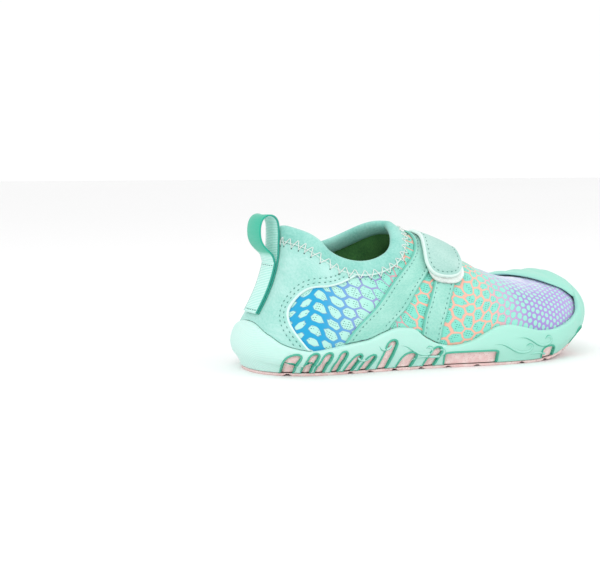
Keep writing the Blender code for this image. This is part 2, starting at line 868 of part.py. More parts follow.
def smooth_rows(rows, count):
    """A table's rows resampled along smooth curves through them."""
    curve = spline(np.arange(len(rows)), rows)
    return curve(np.linspace(0, len(rows) - 1, count))


def ribbon(rows, across, clear_cup=True):
    """Columns of a band given by its rear and front edges, rows running up the shoe."""
    columns = []
    for share in np.linspace(0, 1, across + 1):
        column = []
        for rear_s, rear_w, front_s, front_w in rows:
            s = rear_s + (front_s - rear_s) * share
            w = rear_w + (front_w - rear_w) * share
            if clear_cup:
                margin = LIP_MARGIN / HEEL_HEIGHT
                low = cup_lip_share(s, False) + margin
                high = 2 - cup_lip_share(s, True) - margin
                w = min(max(w, low), high)
            column.append(last(s, w, CLEARANCE)[0])
        columns.append(column)
    return columns


def make_saddle_band():
    """The rear band: from the cup over the instep and down to the cup again."""
    medial = [(a, 2 - b, c, 2 - d) for a, b, c, d in reversed(SADDLE_BAND[:-1])]
    rows = list(SADDLE_BAND) + medial
    return shell("saddle_band", [(ribbon(smooth_rows(rows, 27), 3), False)], PANEL_THICKNESS, 1)


def make_front_bands():
    lateral = smooth_rows(FRONT_BAND_LATERAL, 9)
    shell("front_band_lateral", [(ribbon(lateral, 3), False)], PANEL_THICKNESS, 1)
    rows = [(a, 2 - b, c, 2 - d) for a, b, c, d in reversed(FRONT_BAND_MEDIAL)]
    shell("front_band_medial", [(ribbon(smooth_rows(rows, 8), 3), False)], PANEL_THICKNESS, 1)


def overlay_slab(name, rows, inner, outer, across):
    """A band of its own thickness at a height off the last that changes along it."""
    front, back = [], []
    for share in np.linspace(0, 1, across + 1):
        s = np.array([rear + (fore - rear) * share for rear, fore, w in rows])
        w = np.array([row[2] for row in rows])
        back.append(last(s, w, inner))
        front.append(last(s, w, outer))
    return slab(name, front, back)


def make_strap():
    """The strap over the instep and the hook pad that shows round its end."""
    low = 2 * CLEARANCE + PANEL_THICKNESS
    lifted = low + HOOK_THICKNESS + CLEARANCE
    count = len(STRAP)
    ramp = np.clip((np.arange(count) - STRAP_ROWS_OVER_HOOK + 1) / 2.0, 0, 1)
    inner = lifted + (low - lifted) * ramp
    overlay_slab("strap", STRAP, inner, inner + STRAP_THICKNESS, 4)
    pad = np.full(len(HOOK_PAD), low)
    overlay_slab("hook_pad", HOOK_PAD, pad, pad + HOOK_THICKNESS, 4)


def make_webbing():
    """Webbing up the heel, round its pull loop and down again over itself."""
    base = 2.5 * CLEARANCE + PANEL_THICKNESS + WEBBING_THICKNESS / 2
    columns = []
    places = np.linspace(-WEBBING_WIDTH / 2, WEBBING_WIDTH / 2, 4)
    stations = np.linspace(0.0, 0.12, 25)
    heights = np.array([row[0] for row in WEBBING_PATH]) * HEEL_HEIGHT
    offs = np.array([row[1] for row in WEBBING_PATH]) * LOOP_REACH
    returning = np.arange(len(offs)) > np.argmax(offs)
    offs = np.where(returning, np.maximum(offs, WEBBING_THICKNESS + WEBBING_GAP), offs)
    sections = []
    for height in heights:
        v = share_at(stations, height)
        points = last(stations, v, base)
        sections.append(points)
    for y in places:
        column = []
        for height, off, points in zip(heights, offs, sections):
            x = np.interp(abs(y), -points[:, 1], points[:, 0])
            centre = points[0, 0]
            bow = (x - centre) * max(0.0, 1 - off / LOOP_FLATTENING)
            z = np.interp(abs(y), -points[:, 1], points[:, 2])
            column.append((centre + bow - off, y, z))
        columns.append(column)
    bm = bmesh.new()
    add_sheet(bm, columns, flip=True)
    part = finish(bm, "pull_webbing")
    solidify = part.modifiers.new("thickness", "SOLIDIFY")
    solidify.thickness = WEBBING_THICKNESS
    solidify.offset = 0
    return part


def ladder(bm, ring, flip=False):
    """Close a ring of stations with quads from the lateral to the medial side."""
    n = len(STATIONS) - 1
    for i in range(n):
        a = ring[i]
        b = ring[i + 1]
        c = ring[(2 * n - i - 1) % (2 * n)]
        d = ring[(2 * n - i) % (2 * n)]
        face = []
        for vert in (a, b, c, d):
            if vert not in face:
                face.append(vert)
        bm.faces.new(reversed(face) if flip else face)


def ring_loft(name, rings, hidden=False):
    """A closed piece from rings of points, the first and the last closed across."""
    bm = bmesh.new()
    verts = [[bm.verts.new(p) for p in ring] for ring in rings]
    for low, high in zip(verts, verts[1:]):
        count = len(low)
        for i in range(count):
            j = (i + 1) % count
            bm.faces.new([low[i], low[j], high[j], high[i]])
    ladder(bm, verts[0], flip=True)
    ladder(bm, verts[-1])
    bmesh.ops.recalc_face_normals(bm, faces=bm.faces)
    return finish(bm, name, hidden)


def make_insole():
    """A flat insole inside the upper."""
    u = np.array(loop_stations())
    plan = np.column_stack([foot_curve(u), 0 * u]) - foot_normal(u) * INSOLE_INSET
    low = at_height(plan, UPPER_HEM)
    high = at_height(plan, UPPER_HEM + INSOLE_THICKNESS)
    return ring_loft("insole", [low, high])


def make_cup():
    """The rubber cup: floor, wavy side wall, heel cup and toe cap in one moulding."""
    bm = bmesh.new()
    places = loop_stations()
    inner, outer = [], []
    for u in places:
        s, medial = split(u)
        share = np.linspace(0, 1, CUP_INNER_ROWS + 1)
        if over_toe(s, medial) == 0:
            share = np.repeat(share[::2], 2)[1:]
        v = share * cup_share(s, medial)
        column = last(s, 2 - v if medial else v, CLEARANCE + CAP_EASE * over_toe(s, medial))
        inner.append(column)
        outer.append(cup_side(u)[::-1])
    u = np.array(places)
    foot = np.column_stack([foot_curve(u), 0 * u]) + foot_normal(u) * CLEARANCE
    floor = at_height(foot, FLOOR_TOP)
    rim_in = bottom_ring(u, -RIM_WIDTH)
    under_out = at_height(rim_in, RIM_UNDERSIDE)
    under_in = at_height(rim_in, FLOOR_UNDERSIDE)
    inner_v = add_sheet(bm, [np.vstack([[f], c]) for f, c in zip(floor, inner)], closed=True, flip=True)
    outer_v = add_sheet(bm, outer, closed=True)
    under_v = add_sheet(bm, [[a, b, o[0]] for a, b, o in zip(under_in, under_out, outer)], closed=True)
    for i in range(len(places)):
        j = (i + 1) % len(places)
        if max(split(places[i])[0], split(places[j])[0]) <= CAP_FRONT + 1e-9:
            bm.faces.new([outer_v[i][-1], outer_v[j][-1], inner_v[j][-1], inner_v[i][-1]])
    ladder(bm, [c[0] for c in inner_v])
    ladder(bm, [c[0] for c in under_v], flip=True)
    bmesh.ops.remove_doubles(bm, verts=bm.verts, dist=1e-5)
    bmesh.ops.recalc_face_normals(bm, faces=bm.faces)
    return finish(bm, "sole_cup")


def arch_grid(medial, first, end, rise, power, lean, foot, stand_off, grow=0.0):
    """Points over an arch-shaped place on the cup's side."""
    height = rise * NOTCH_HEIGHT
    across = 6 if power > 4 else 3
    columns = []
    width = (end - first) * LENGTH
    for t in np.linspace(-1, 1, across + 1):
        squared = t if power > 4 else np.sin(t * np.pi / 2)
        s0 = (first + end) / 2 + squared * (end - first) / 2 * (1 + 2 * grow / width)
        crown = (1 - min(abs(squared), 0.995) ** power) ** (1 / power)
        base = height - min(width / 2, height * 0.45) if power < 4 else height - NOTCH_SHOULDER
        top = base + (height - base) * crown + grow
        column = []
        for level in (foot, top):
            s = s0 + lean * level / LENGTH
            column.append(side_point(2 - s if medial else s, level, stand_off))
        columns.append(column)
    if medial:
        columns.reverse()
    return columns


def arch_slab(name, medial, notch, foot, outer, inner, grow=0.0):
    """A closed arch between two depths of the cup's side. A grown one, which cuts, is triangles."""
    front = arch_grid(medial, *notch, foot, outer, grow)
    back = arch_grid(medial, *notch, foot, inner, grow)
    return slab(name, front, back, hidden=True, triangles=grow > 0)


def make_tread():
    """The tread: a flange under the cup's rim, a plate inside it and grooves between lugs."""
    u = np.array(loop_stations())
    rim = bottom_ring(u, -TREAD_INSET)
    plate = bottom_ring(u, -RIM_WIDTH - CLEARANCE)
    rings = [
        at_height(rim, 0.0),
        at_height(rim, TREAD_FLANGE),
        at_height(plate, TREAD_FLANGE),
        at_height(plate, TREAD_TOP),
    ]
    return ring_loft("tread", rings)


def make_groove(index, station, sweep):
    """A chevron cutter across the tread, following the ground line."""
    reach = BALL_WIDTH * 0.8
    front, back = [], []
    for y in (-reach, -reach / 2, 0.0, reach / 2, reach):
        x = (station - HEEL_SEAT) * LENGTH + abs(y) / reach * sweep * LENGTH
        column_front, column_back = [], []
        for level in (-CUTTER_REACH, GROOVE_DEPTH):
            for column, side in ((column_front, 1), (column_back, -1)):
                px = x + side * GROOVE_WIDTH / 2
                column.append((px, y, ground(px) + level))
        front.append(column_front)
        back.append(column_back)
    return slab("groove_%d" % index, front, back, hidden=True)


def side_height(s, medial):
    """Height of the cup's lip above the ground line."""
    lip = cup_side(2 - s if medial else s)[0]
    return lip[2] - ground(lip[0])


def make_crest(index, medial, first, end, crest, trough):
    """A raised wave line with a curled end, a soft ridge on the cup's side."""
    points = []
    crest = crest * side_height(first, medial) - CREST_WIDTH
    trough = trough * side_height(end, medial) - CREST_WIDTH
    for t in np.linspace(0, 1, 4):
        level = trough + (crest - trough) * (0.5 + 0.5 * np.cos(t * np.pi))
        points.append((first + (end - first) * t * 0.9, level))
    centre = (points[-1][0], trough + CREST_CURL)
    for angle in (0, 80):
        turn = np.radians(angle)
        points.append((centre[0] + CREST_CURL * np.cos(turn) / LENGTH, centre[1] + CREST_CURL * np.sin(turn)))
    front, back = [], []
    line = np.array(points) * (LENGTH, 1.0)
    run = np.gradient(line, axis=0)
    run /= np.linalg.norm(run, axis=1)[:, None]
    across = np.column_stack([-run[:, 1], run[:, 0]])
    for k in range(len(points)):
        taper = 0.55 if k in (0, len(points) - 1) else 1.0
        column_front, column_back = [], []
        for side, lift in ((-1, 0.0), (0, 1.0), (1, 0.0)):
            s, level = line[k] + across[k] * side * CREST_WIDTH / 2 * taper
            s = s / LENGTH
            u = 2 - s if medial else s
            column_front.append(side_point(u, level, lift * CREST_HEIGHT * taper))
            column_back.append(side_point(u, level, -CREST_ROOT))
        front.append(column_front)
        back.append(column_back)
    return slab("crest_%s_%d" % ("medial" if medial else "lateral", index), front, back, hidden=True)


for old in list(bpy.data.objects):
    bpy.data.objects.remove(old, do_unlink=True)

shoe = bpy.data.collections.new("water_shoe")
cutters = bpy.data.collections.new("cutters")
bpy.context.scene.collection.children.link(shoe)
bpy.context.scene.collection.children.link(cutters)

make_upper()
make_collar_binding()
make_heel_panel()
make_saddle_band()
make_front_bands()
make_strap()
make_webbing()
make_insole()
cup = make_cup()
tread = make_tread()

for number, (station, sweep) in enumerate(GROOVES):
    cut(tread, make_groove(number, station, sweep))

for medial, notches in ((False, NOTCHES_LATERAL), (True, NOTCHES_MEDIAL)):
    side = "medial" if medial else "lateral"
    for number, notch in enumerate(notches):
        hollow = arch_slab(
            "notch_%s_%d" % (side, number), medial, notch, NOTCH_FOOT,
            CUTTER_REACH, -NOTCH_DEPTH, NOTCH_EASE)
        cut(cup, hollow)
        finger = arch_slab(
            "finger_%s_%d" % (side, number), medial, notch, FINGER_FOOT,
            -FINGER_RECESS, -FINGER_RECESS - FINGER_THICKNESS)
        cut(tread, finger, "UNION")
    for number, crest in enumerate(CRESTS):
        cut(cup, make_crest(number, medial, *crest), "UNION")
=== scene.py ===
# Water shoe, right foot: printed knit sock in a moulded rubber cup, with strap, bands and a heel pull loop.
# Metres, as on the shoe: +X to the toe, -Y to the outer side, +Z up.
import math

import bpy
import numpy as np
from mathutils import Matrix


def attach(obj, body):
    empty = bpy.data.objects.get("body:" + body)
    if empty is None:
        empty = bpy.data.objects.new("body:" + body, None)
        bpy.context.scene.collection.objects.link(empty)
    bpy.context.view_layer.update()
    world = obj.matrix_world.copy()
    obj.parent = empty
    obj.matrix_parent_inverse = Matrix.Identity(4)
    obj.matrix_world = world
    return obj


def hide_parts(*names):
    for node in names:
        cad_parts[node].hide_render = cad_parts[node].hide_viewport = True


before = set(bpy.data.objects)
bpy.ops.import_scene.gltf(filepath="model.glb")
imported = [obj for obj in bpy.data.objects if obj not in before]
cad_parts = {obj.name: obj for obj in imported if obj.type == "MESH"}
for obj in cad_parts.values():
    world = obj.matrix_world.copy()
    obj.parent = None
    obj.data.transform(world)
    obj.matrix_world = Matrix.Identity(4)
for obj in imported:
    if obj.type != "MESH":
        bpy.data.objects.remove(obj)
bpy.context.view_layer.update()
mm = 0.001

# The last that everything lies on. Shares follow the three driving sizes.
last = {
    "length": 0.198,
    "ballWidth": 0.080,
    "heelHeight": 0.066,
    "toeSpring": 0.015,
    "springStart": 0.70,
    "heelSeat": 0.15,
    "hem": 0.0063,
    "throat": 0.402,
    # station, along, lateral half-width, medial half-width
    "footLine": (
        (0.000, 0.028, 0.000, 0.000), (0.050, 0.043, 0.170, 0.170), (0.110, 0.100, 0.300, 0.290),
        (0.190, 0.185, 0.350, 0.330), (0.300, 0.300, 0.360, 0.300), (0.400, 0.405, 0.375, 0.275),
        (0.500, 0.505, 0.410, 0.300), (0.600, 0.605, 0.450, 0.370), (0.700, 0.705, 0.465, 0.430),
        (0.790, 0.795, 0.425, 0.445), (0.870, 0.870, 0.330, 0.420), (0.940, 0.930, 0.170, 0.340),
        (1.000, 0.955, 0.120, 0.120),
    ),
    # station, along, sideways, height
    "ridgeLine": (
        (0.00, 0.081, 0.000, 1.340), (0.05, 0.085, 0.000, 1.350), (0.10, 0.071, 0.000, 1.360),
        (0.20, 0.213, 0.000, 1.330), (0.30, 0.307, 0.000, 1.200), (0.40, 0.400, 0.000, 1.035),
        (0.50, 0.500, 0.004, 0.895), (0.60, 0.600, 0.012, 0.755), (0.70, 0.700, 0.030, 0.630),
        (0.80, 0.795, 0.055, 0.580), (0.88, 0.865, 0.080, 0.580), (0.95, 0.905, 0.100, 0.565),
        (1.00, 0.922, 0.105, 0.545),
    ),
    # station, outward lateral, outward medial, upward, along, lateral, medial, drop
    "ribs": (
        (0.00, 0.114, 0.114, 0.240, 0.073, 0.000, 0.000, 0.66),
        (0.05, 0.148, 0.148, 0.185, 0.089, 0.264, 0.264, 0.75),
        (0.10, 0.137, 0.137, 0.075, 0.171, 0.283, 0.283, 0.35),
        (0.20, 0.100, 0.110, 0.288, -0.001, 0.226, 0.210, 0.35),
        (0.30, 0.080, 0.150, 0.320, -0.005, 0.270, 0.225, 0.20),
        (0.40, 0.080, 0.180, 0.360, 0.004, 0.262, 0.193, 0.10),
        (0.50, 0.100, 0.180, 0.420, 0.003, 0.257, 0.184, 0.00),
        (0.60, 0.110, 0.160, 0.460, 0.003, 0.286, 0.222, 0.00),
        (0.70, 0.130, 0.150, 0.500, 0.003, 0.327, 0.264, 0.00),
        (0.80, 0.150, 0.150, 0.540, 0.007, 0.320, 0.264, 0.00),
        (0.90, 0.180, 0.180, 0.560, 0.013, 0.243, 0.208, 0.00),
        (1.00, 0.240, 0.240, 0.560, 0.023, 0.000, 0.000, 0.00),
    ),
    # station, height lateral, height medial
    "collarEdge": (
        (0.000, 1.005, 1.005), (0.050, 1.015, 0.990), (0.100, 0.975, 0.955), (0.150, 0.890, 0.905),
        (0.200, 0.820, 0.865), (0.270, 0.768, 0.885), (0.330, 0.805, 0.970), (0.375, 0.905, 1.030),
        (0.402, 1.032, 1.032),
    ),
    # soft dents of worn cloth:
    # from station, share, to station, share, half-width mm, depth mm
    "creases": (
        (0.595, 0.300, 0.640, 0.640, 2.0, -0.55), (0.625, 0.330, 0.665, 0.620, 2.2, 0.30),
        (0.655, 0.270, 0.690, 0.560, 2.2, -0.40), (0.600, 1.720, 0.640, 1.380, 2.2, -0.60),
        (0.655, 1.700, 0.690, 1.420, 2.4, -0.40), (0.640, 0.800, 0.645, 1.240, 3.0, -0.45),
        (0.420, 0.860, 0.424, 1.140, 2.6, -0.50), (0.150, 0.220, 0.225, 0.420, 3.2, -0.35),
        (0.350, 0.300, 0.392, 0.500, 2.6, -0.30), (0.030, 0.420, 0.052, 0.760, 2.4, 0.35),
        (0.110, 0.560, 0.170, 0.620, 3.4, -0.35), (0.110, 1.440, 0.170, 1.380, 3.4, -0.35),
        (0.760, 0.600, 0.800, 0.850, 3.6, -0.40), (0.840, 0.450, 0.870, 0.640, 3.0, 0.35),
        (0.300, 1.700, 0.360, 1.450, 3.0, -0.40), (0.220, 1.720, 0.270, 1.560, 3.0, -0.35),
    ),
}


def spline(knots, rows, period=None):
    # a smooth cubic curve through the rows, natural at its ends or closed over a period
    x = np.asarray(knots, float)
    y = np.asarray(rows, float)
    if y.ndim == 1:
        y = y[:, None]
    count = len(x)
    if period:
        x = np.append(x, x[0] + period)
        y = np.vstack([y, y[:1]])
    step = np.diff(x)
    matrix = np.eye(count)
    right = np.zeros((count, y.shape[1]))
    for i in range(count) if period else range(1, count - 1):
        before = (i - 1) % count
        matrix[i] = 0
        matrix[i, before] += step[before]
        matrix[i, i] += 2 * (step[before] + step[i])
        matrix[i, (i + 1) % count] += step[i]
        right[i] = 6 * ((y[i + 1] - y[i]) / step[i] - (y[i] - y[before]) / step[before])
    bend = np.linalg.solve(matrix, right)
    if period:
        bend = np.vstack([bend, bend[:1]])

    def at(u):
        u = np.atleast_1d(np.asarray(u, float))
        if period:
            u = x[0] + np.mod(u - x[0], period)
        i = np.clip(np.searchsorted(x, u, side="right") - 1, 0, len(x) - 2)
        left = (x[i + 1] - u)[:, None]
        rest = (u - x[i])[:, None]
        h = step[i][:, None]
        curve = (bend[i] * left**3 + bend[i + 1] * rest**3) / (6 * h)
        return curve + (y[i] / h - bend[i] * h / 6) * left + (y[i + 1] / h - bend[i + 1] * h / 6) * rest

    return at


def easy(rows, column=1):
    # a curve through one column of a table that never swings past its values
    x = np.array([row[0] for row in rows], float)
    y = np.array([row[column] for row in rows], float)
    h = np.diff(x)
    d = np.diff(y) / h
    slope = np.concatenate([[d[0]], np.zeros(len(x) - 2), [d[-1]]])
    for i in range(1, len(x) - 1):
        if d[i - 1] * d[i] > 0:
            a = 2 * h[i] + h[i - 1]
            b = h[i] + 2 * h[i - 1]
            slope[i] = (a + b) / (a / d[i - 1] + b / d[i])

    def at(u):
        u = np.asarray(u, float)
        i = np.clip(np.searchsorted(x, u, side="right") - 1, 0, len(x) - 2)
        t = np.clip((u - x[i]) / h[i], 0, 1)
        low = y[i] * (1 + 2 * t) * (1 - t)**2 + slope[i] * h[i] * t * (1 - t)**2
        return low + y[i + 1] * t**2 * (3 - 2 * t) + slope[i + 1] * h[i] * t**2 * (t - 1)

    return at


def around(rows):
    # a closed table from station rows: lateral side out to the toe, medial side back
    table = [(s, *lateral) for s, lateral, medial in rows]
    table += [(2 - s, *medial) for s, lateral, medial in reversed(rows[1:-1])]
    return spline([r[0] for r in table], [r[1:] for r in table], 2.0)


def footRows():
    rows = []
    for s, along, lateral, medial in last["footLine"]:
        x = (along - last["heelSeat"]) * last["length"]
        side = medial if s >= 1.0 else -lateral
        rows.append((s, (x, side * last["ballWidth"]), (x, medial * last["ballWidth"])))
    return rows


def ridgeRows():
    rows = []
    for s, along, sideways, height in last["ridgeLine"]:
        x = (along - last["heelSeat"]) * last["length"]
        point = (x, sideways * last["ballWidth"], height * last["heelHeight"])
        rows.append((s, point, point))
    return rows


def ribRows():
    return [
        (s, (outL, up, along, -lateral, drop), (outM, up, along, medial, drop))
        for s, outL, outM, up, along, lateral, medial, drop in last["ribs"]
    ]


footCurve = around(footRows())
ridgeCurve = around(ridgeRows())
ribCurve = around(ribRows())
collarCurve = spline(
    [-row[0] for row in reversed(last["collarEdge"][1:])] + [row[0] for row in last["collarEdge"]],
    [row[2] for row in reversed(last["collarEdge"][1:])] + [row[1] for row in last["collarEdge"]],
)


def ground(x):
    # height of the ground line: flat, then the toe spring
    share = (x / last["length"] + last["heelSeat"] - last["springStart"]) / (1 - last["springStart"])
    return last["toeSpring"] * np.clip(share, 0, None)**2


def fold(s, w):
    # stations run on past the heel and the toe onto the other side
    s, w = np.broadcast_arrays(np.atleast_1d(np.asarray(s, float)), np.atleast_1d(np.asarray(w, float)))
    w = np.where((s < 0) | (s > 1), 2 - w, w)
    s = np.where(s < 0, -s, np.where(s > 1, 2 - s, s))
    return s, w


def unit(vectors):
    return vectors / np.maximum(np.linalg.norm(vectors, axis=-1, keepdims=True), 1e-12)


def footNormal(u):
    step = unit(footCurve(u + 1e-4) - footCurve(u - 1e-4))
    return np.column_stack([step[:, 1], -step[:, 0], 0 * step[:, 0]])


def skin(s, w):
    # the last's surface: w is 0 at the lateral foot line, 1 on the ridge, 2 at the medial foot line
    s, w = fold(s, w)
    lateral = w <= 1
    u = np.where(lateral, s, 2 - s)
    v = np.where(lateral, w, 2 - w)[:, None]
    foot = footCurve(u)
    foot = np.column_stack([foot, ground(foot[:, 0]) + last["hem"]])
    ridge = ridgeCurve(s)
    handle = ribCurve(u)
    rise = (ridge - foot)[:, 2:3]
    up = np.array([0, 0, 1.0])
    inner = np.clip(s, 0.02, 0.98)
    run = ridgeCurve(inner + 1e-3) - ridgeCurve(inner - 1e-3)
    slope = (run[:, 2] / run[:, 0] * np.clip((s - 0.2) / 0.2, 0, 1))[:, None]
    low = foot + footNormal(u) * handle[:, 0:1] * rise + up * handle[:, 1:2] * rise
    pull = np.column_stack([handle[:, 2] * last["length"], handle[:, 3] * last["ballWidth"], 0 * s])
    high = ridge + pull + up * (slope * pull[:, :1] - handle[:, 4:5] * rise)
    return foot * (1 - v)**3 + 3 * low * v * (1 - v)**2 + 3 * high * v**2 * (1 - v) + ridge * v**3


def skinSlopes(s, w):
    step = 5e-4
    along = (skin(s + step, w) - skin(s - step, w)) / (2 * step)
    across = (skin(s, w + step) - skin(s, w - step)) / (2 * step)
    return along, across


def skinNormal(s, w):
    # outward direction; the ridge's two ends borrow it from just beside them
    near = np.where(np.abs(w - 1) < 0.02, np.clip(s, 0.015, 0.985), s)
    return unit(np.cross(*skinSlopes(near, w)))


def crease(s, w):
    # the listed dents, in metres along the normal
    s, w = fold(s, w)
    x = s * 198
    y = w * 70
    total = np.zeros(len(x))
    for s0, w0, s1, w1, halfWidth, depth in last["creases"]:
        ax, ay, bx, by = s0 * 198, w0 * 70, s1 * 198, w1 * 70
        length = math.hypot(bx - ax, by - ay)
        t = np.clip(((x - ax) * (bx - ax) + (y - ay) * (by - ay)) / length**2, 0, 1)
        gap = np.hypot(x - ax - t * (bx - ax), y - ay - t * (by - ay))
        total += depth * mm * np.exp(-(gap / halfWidth)**2)
    return total


def onLast(s, w, standOff=0.0, creased=True):
    # points a given distance off the last, for arrays of any one shape
    s, w, off = np.broadcast_arrays(np.asarray(s, float), np.asarray(w, float), np.asarray(standOff, float))
    flatS, flatW, flatOff = s.ravel(), w.ravel(), off.ravel()
    if creased:
        flatOff = flatOff + crease(flatS, flatW)
    points = skin(flatS, flatW) + skinNormal(flatS, flatW) * flatOff[:, None]
    return points.reshape(*s.shape, 3)


def walk(s, w, direction, length, steps=4):
    # places on the last reached by walking over its surface
    s, w = np.array(s, float), np.array(w, float)
    for _ in range(steps):
        along, across = skinSlopes(s, w)
        move = direction * np.reshape(length, (-1, 1)) / steps
        aa, bb, ab = (along * along).sum(1), (across * across).sum(1), (along * across).sum(1)
        ma, mb = (move * along).sum(1), (move * across).sum(1)
        det = aa * bb - ab * ab
        s = s + (ma * bb - mb * ab) / det
        w = w + (mb * aa - ma * ab) / det
    return s, w


def arcLength(points):
    return np.concatenate([[0], np.cumsum(np.linalg.norm(np.diff(points, axis=0), axis=1))])


def resample(s, w, count):
    # places spaced evenly along a line on the last
    length = arcLength(skin(s, w))
    even = np.linspace(0, length[-1], count)
    return np.interp(even, length, s), np.interp(even, length, w)


def sideways(s, w, distance):
    # a line on the last moved over the surface, to the left of its run as seen from outside
    tangent = unit(np.gradient(skin(s, w), axis=0))
    normal = unit(np.cross(*skinSlopes(s, w)))
    return walk(s, w, np.cross(normal, tangent), distance)


def shareAt(s, height, medial):
    low = np.zeros(len(s))
    high = np.ones(len(s))
    for _ in range(24):
        middle = (low + high) / 2
        below = skin(s, 2 - middle if medial else middle)[:, 2] < height
        low = np.where(below, middle, low)
        high = np.where(below, high, middle)
    return (low + high) / 2


# the collar's edge as a share of the rib, read from a table that is dense towards the throat
throatSteps = np.linspace(0, 1, 240)
throatStations = last["throat"] * (1 - throatSteps**2)
collarShares = []
for medial in (False, True):
    heights = collarCurve(-throatStations if medial else throatStations)[:, 0] * last["heelHeight"]
    shares = shareAt(throatStations, heights, medial)
    shares[0] = 1.0
    collarShares.append(shares)


def collarShare(s, medial):
    step = np.sqrt(np.clip(1 - np.asarray(s) / last["throat"], 0, 1))
    sides = [np.interp(step, throatSteps, shares) for shares in collarShares]
    return np.where(np.asarray(s) >= last["throat"], 1.0, np.where(medial, sides[1], sides[0]))


def sideOf(u):
    # a place round the shoe as a station and whether it is on the medial side
    u = np.asarray(u, float)
    return np.where(u > 1, 2 - u, u), u > 1


def evenPlaces(count):
    # places round the shoe, spaced evenly along the foot line
    u = np.linspace(0, 2, 4001)
    length = arcLength(footCurve(u))
    return np.interp(np.linspace(0, length[-1], count, endpoint=False), length, u)


# The rubber cup's edge and outer side, which the cloth pieces end at
cup = {
    "wall": 0.0030,
    "lip": 0.0015,
    "clearance": 0.0003,
    "capEase": 0.0008,
    "rimUnderside": 0.0016,
    "skirt": 0.0036,
    "floorTop": 0.0060,
    "floorUnderside": 0.0038,
    "rimWidth": 0.0050,
    "capFront": 0.900,
    "columns": 960,
    "lowRows": 31,
    "highRows": 27,
    # station, share of the rib lateral, medial; above 1 the edge has passed over the ridge
    "edge": (
        (0.000, 0.310, 0.310), (0.022, 0.316, 0.316), (0.052, 0.281, 0.281), (0.077, 0.213, 0.213),
        (0.107, 0.163, 0.163), (0.140, 0.125, 0.130), (0.198, 0.103, 0.110), (0.260, 0.118, 0.120),
        (0.307, 0.166, 0.150), (0.345, 0.194, 0.190), (0.378, 0.188, 0.205), (0.415, 0.125, 0.175),
        (0.448, 0.083, 0.120), (0.485, 0.066, 0.100), (0.527, 0.088, 0.130), (0.573, 0.156, 0.200),
        (0.605, 0.206, 0.270), (0.640, 0.226, 0.365), (0.680, 0.208, 0.485), (0.720, 0.182, 0.630),
        (0.760, 0.174, 0.830), (0.800, 0.182, 1.050), (0.840, 0.204, 1.300), (0.870, 0.240, 1.430),
        (0.900, 0.420, 1.580), (0.930, 0.580, 1.420), (0.965, 0.800, 1.200), (1.000, 1.000, 1.000),
    ),
    # station, outset of the bottom edge (x wall)
    "outset": ((0.00, 0.33), (0.20, 0.40), (0.50, 0.53), (0.70, 0.33), (0.85, -0.27), (1.00, -0.80)),
    # share of the covered rib, stand-off (x wall), from the lip down
    "side": ((1.00, None), (0.94, 0.84), (0.78, 0.97), (0.58, 1.04), (0.38, 1.06), (0.18, 1.00)),
    # arches in the lower edge: first station, last station, height (x notchHeight), squareness, lean
    "notchHeight": 0.0105,
    "notchShoulder": 0.0018,
    "notchDepth": 0.0020,
    "notchesLateral": (
        (0.076, 0.098, 1.00, 2.0, 0.30), (0.113, 0.130, 1.03, 2.0, 0.30),
        (0.139, 0.158, 1.03, 2.0, 0.35),
        (0.174, 0.191, 1.05, 2.0, 0.40), (0.203, 0.224, 0.88, 2.0, 0.60),
        (0.240, 0.262, 0.81, 2.0, 0.60),
        (0.288, 0.312, 1.43, 2.0, 0.35), (0.335, 0.372, 0.81, 2.5, 0.50),
        (0.404, 0.432, 1.00, 2.0, 0.50),
        (0.463, 0.600, 0.71, 7.0, 0.00), (0.735, 0.775, 0.71, 2.5, -0.30),
        (0.870, 0.905, 0.81, 2.5, -0.30),
    ),
    "notchesMedial": (
        (0.080, 0.103, 1.00, 2.0, 0.30), (0.118, 0.136, 1.05, 2.0, 0.35),
        (0.147, 0.165, 1.00, 2.0, 0.35),
        (0.180, 0.200, 1.10, 2.0, 0.40), (0.214, 0.236, 0.86, 2.0, 0.60),
        (0.262, 0.290, 1.38, 2.0, 0.35),
        (0.325, 0.362, 0.86, 2.5, 0.50), (0.395, 0.425, 1.00, 2.0, 0.50),
        (0.460, 0.620, 0.71, 7.0, 0.00),
        (0.720, 0.760, 0.71, 2.5, -0.30),
    ),
}
cupEdges = [easy(cup["edge"], column) for column in (1, 2)]
cupOutset = easy(cup["outset"])


def cupShare(s, medial):
    return np.where(medial, cupEdges[1](s), cupEdges[0](s))


def overToe(s, medial):
    # how far a place is part of the toe cap, from 0 on the side wall to 1
    share = np.where(medial, np.clip((cupShare(s, True) - 0.25) / 0.35, 0, 1), 0)
    return np.maximum(share, np.clip((s - 0.80) / 0.08, 0, 1))


def bottomRing(u, extra=0.0):
    foot = np.column_stack([footCurve(u), 0 * u])
    return foot + footNormal(u) * (cupOutset(sideOf(u)[0]) * cup["wall"] + extra)[:, None]


def atHeight(points, height):
    return np.column_stack([points[:, :2], ground(points[:, 0]) + height])


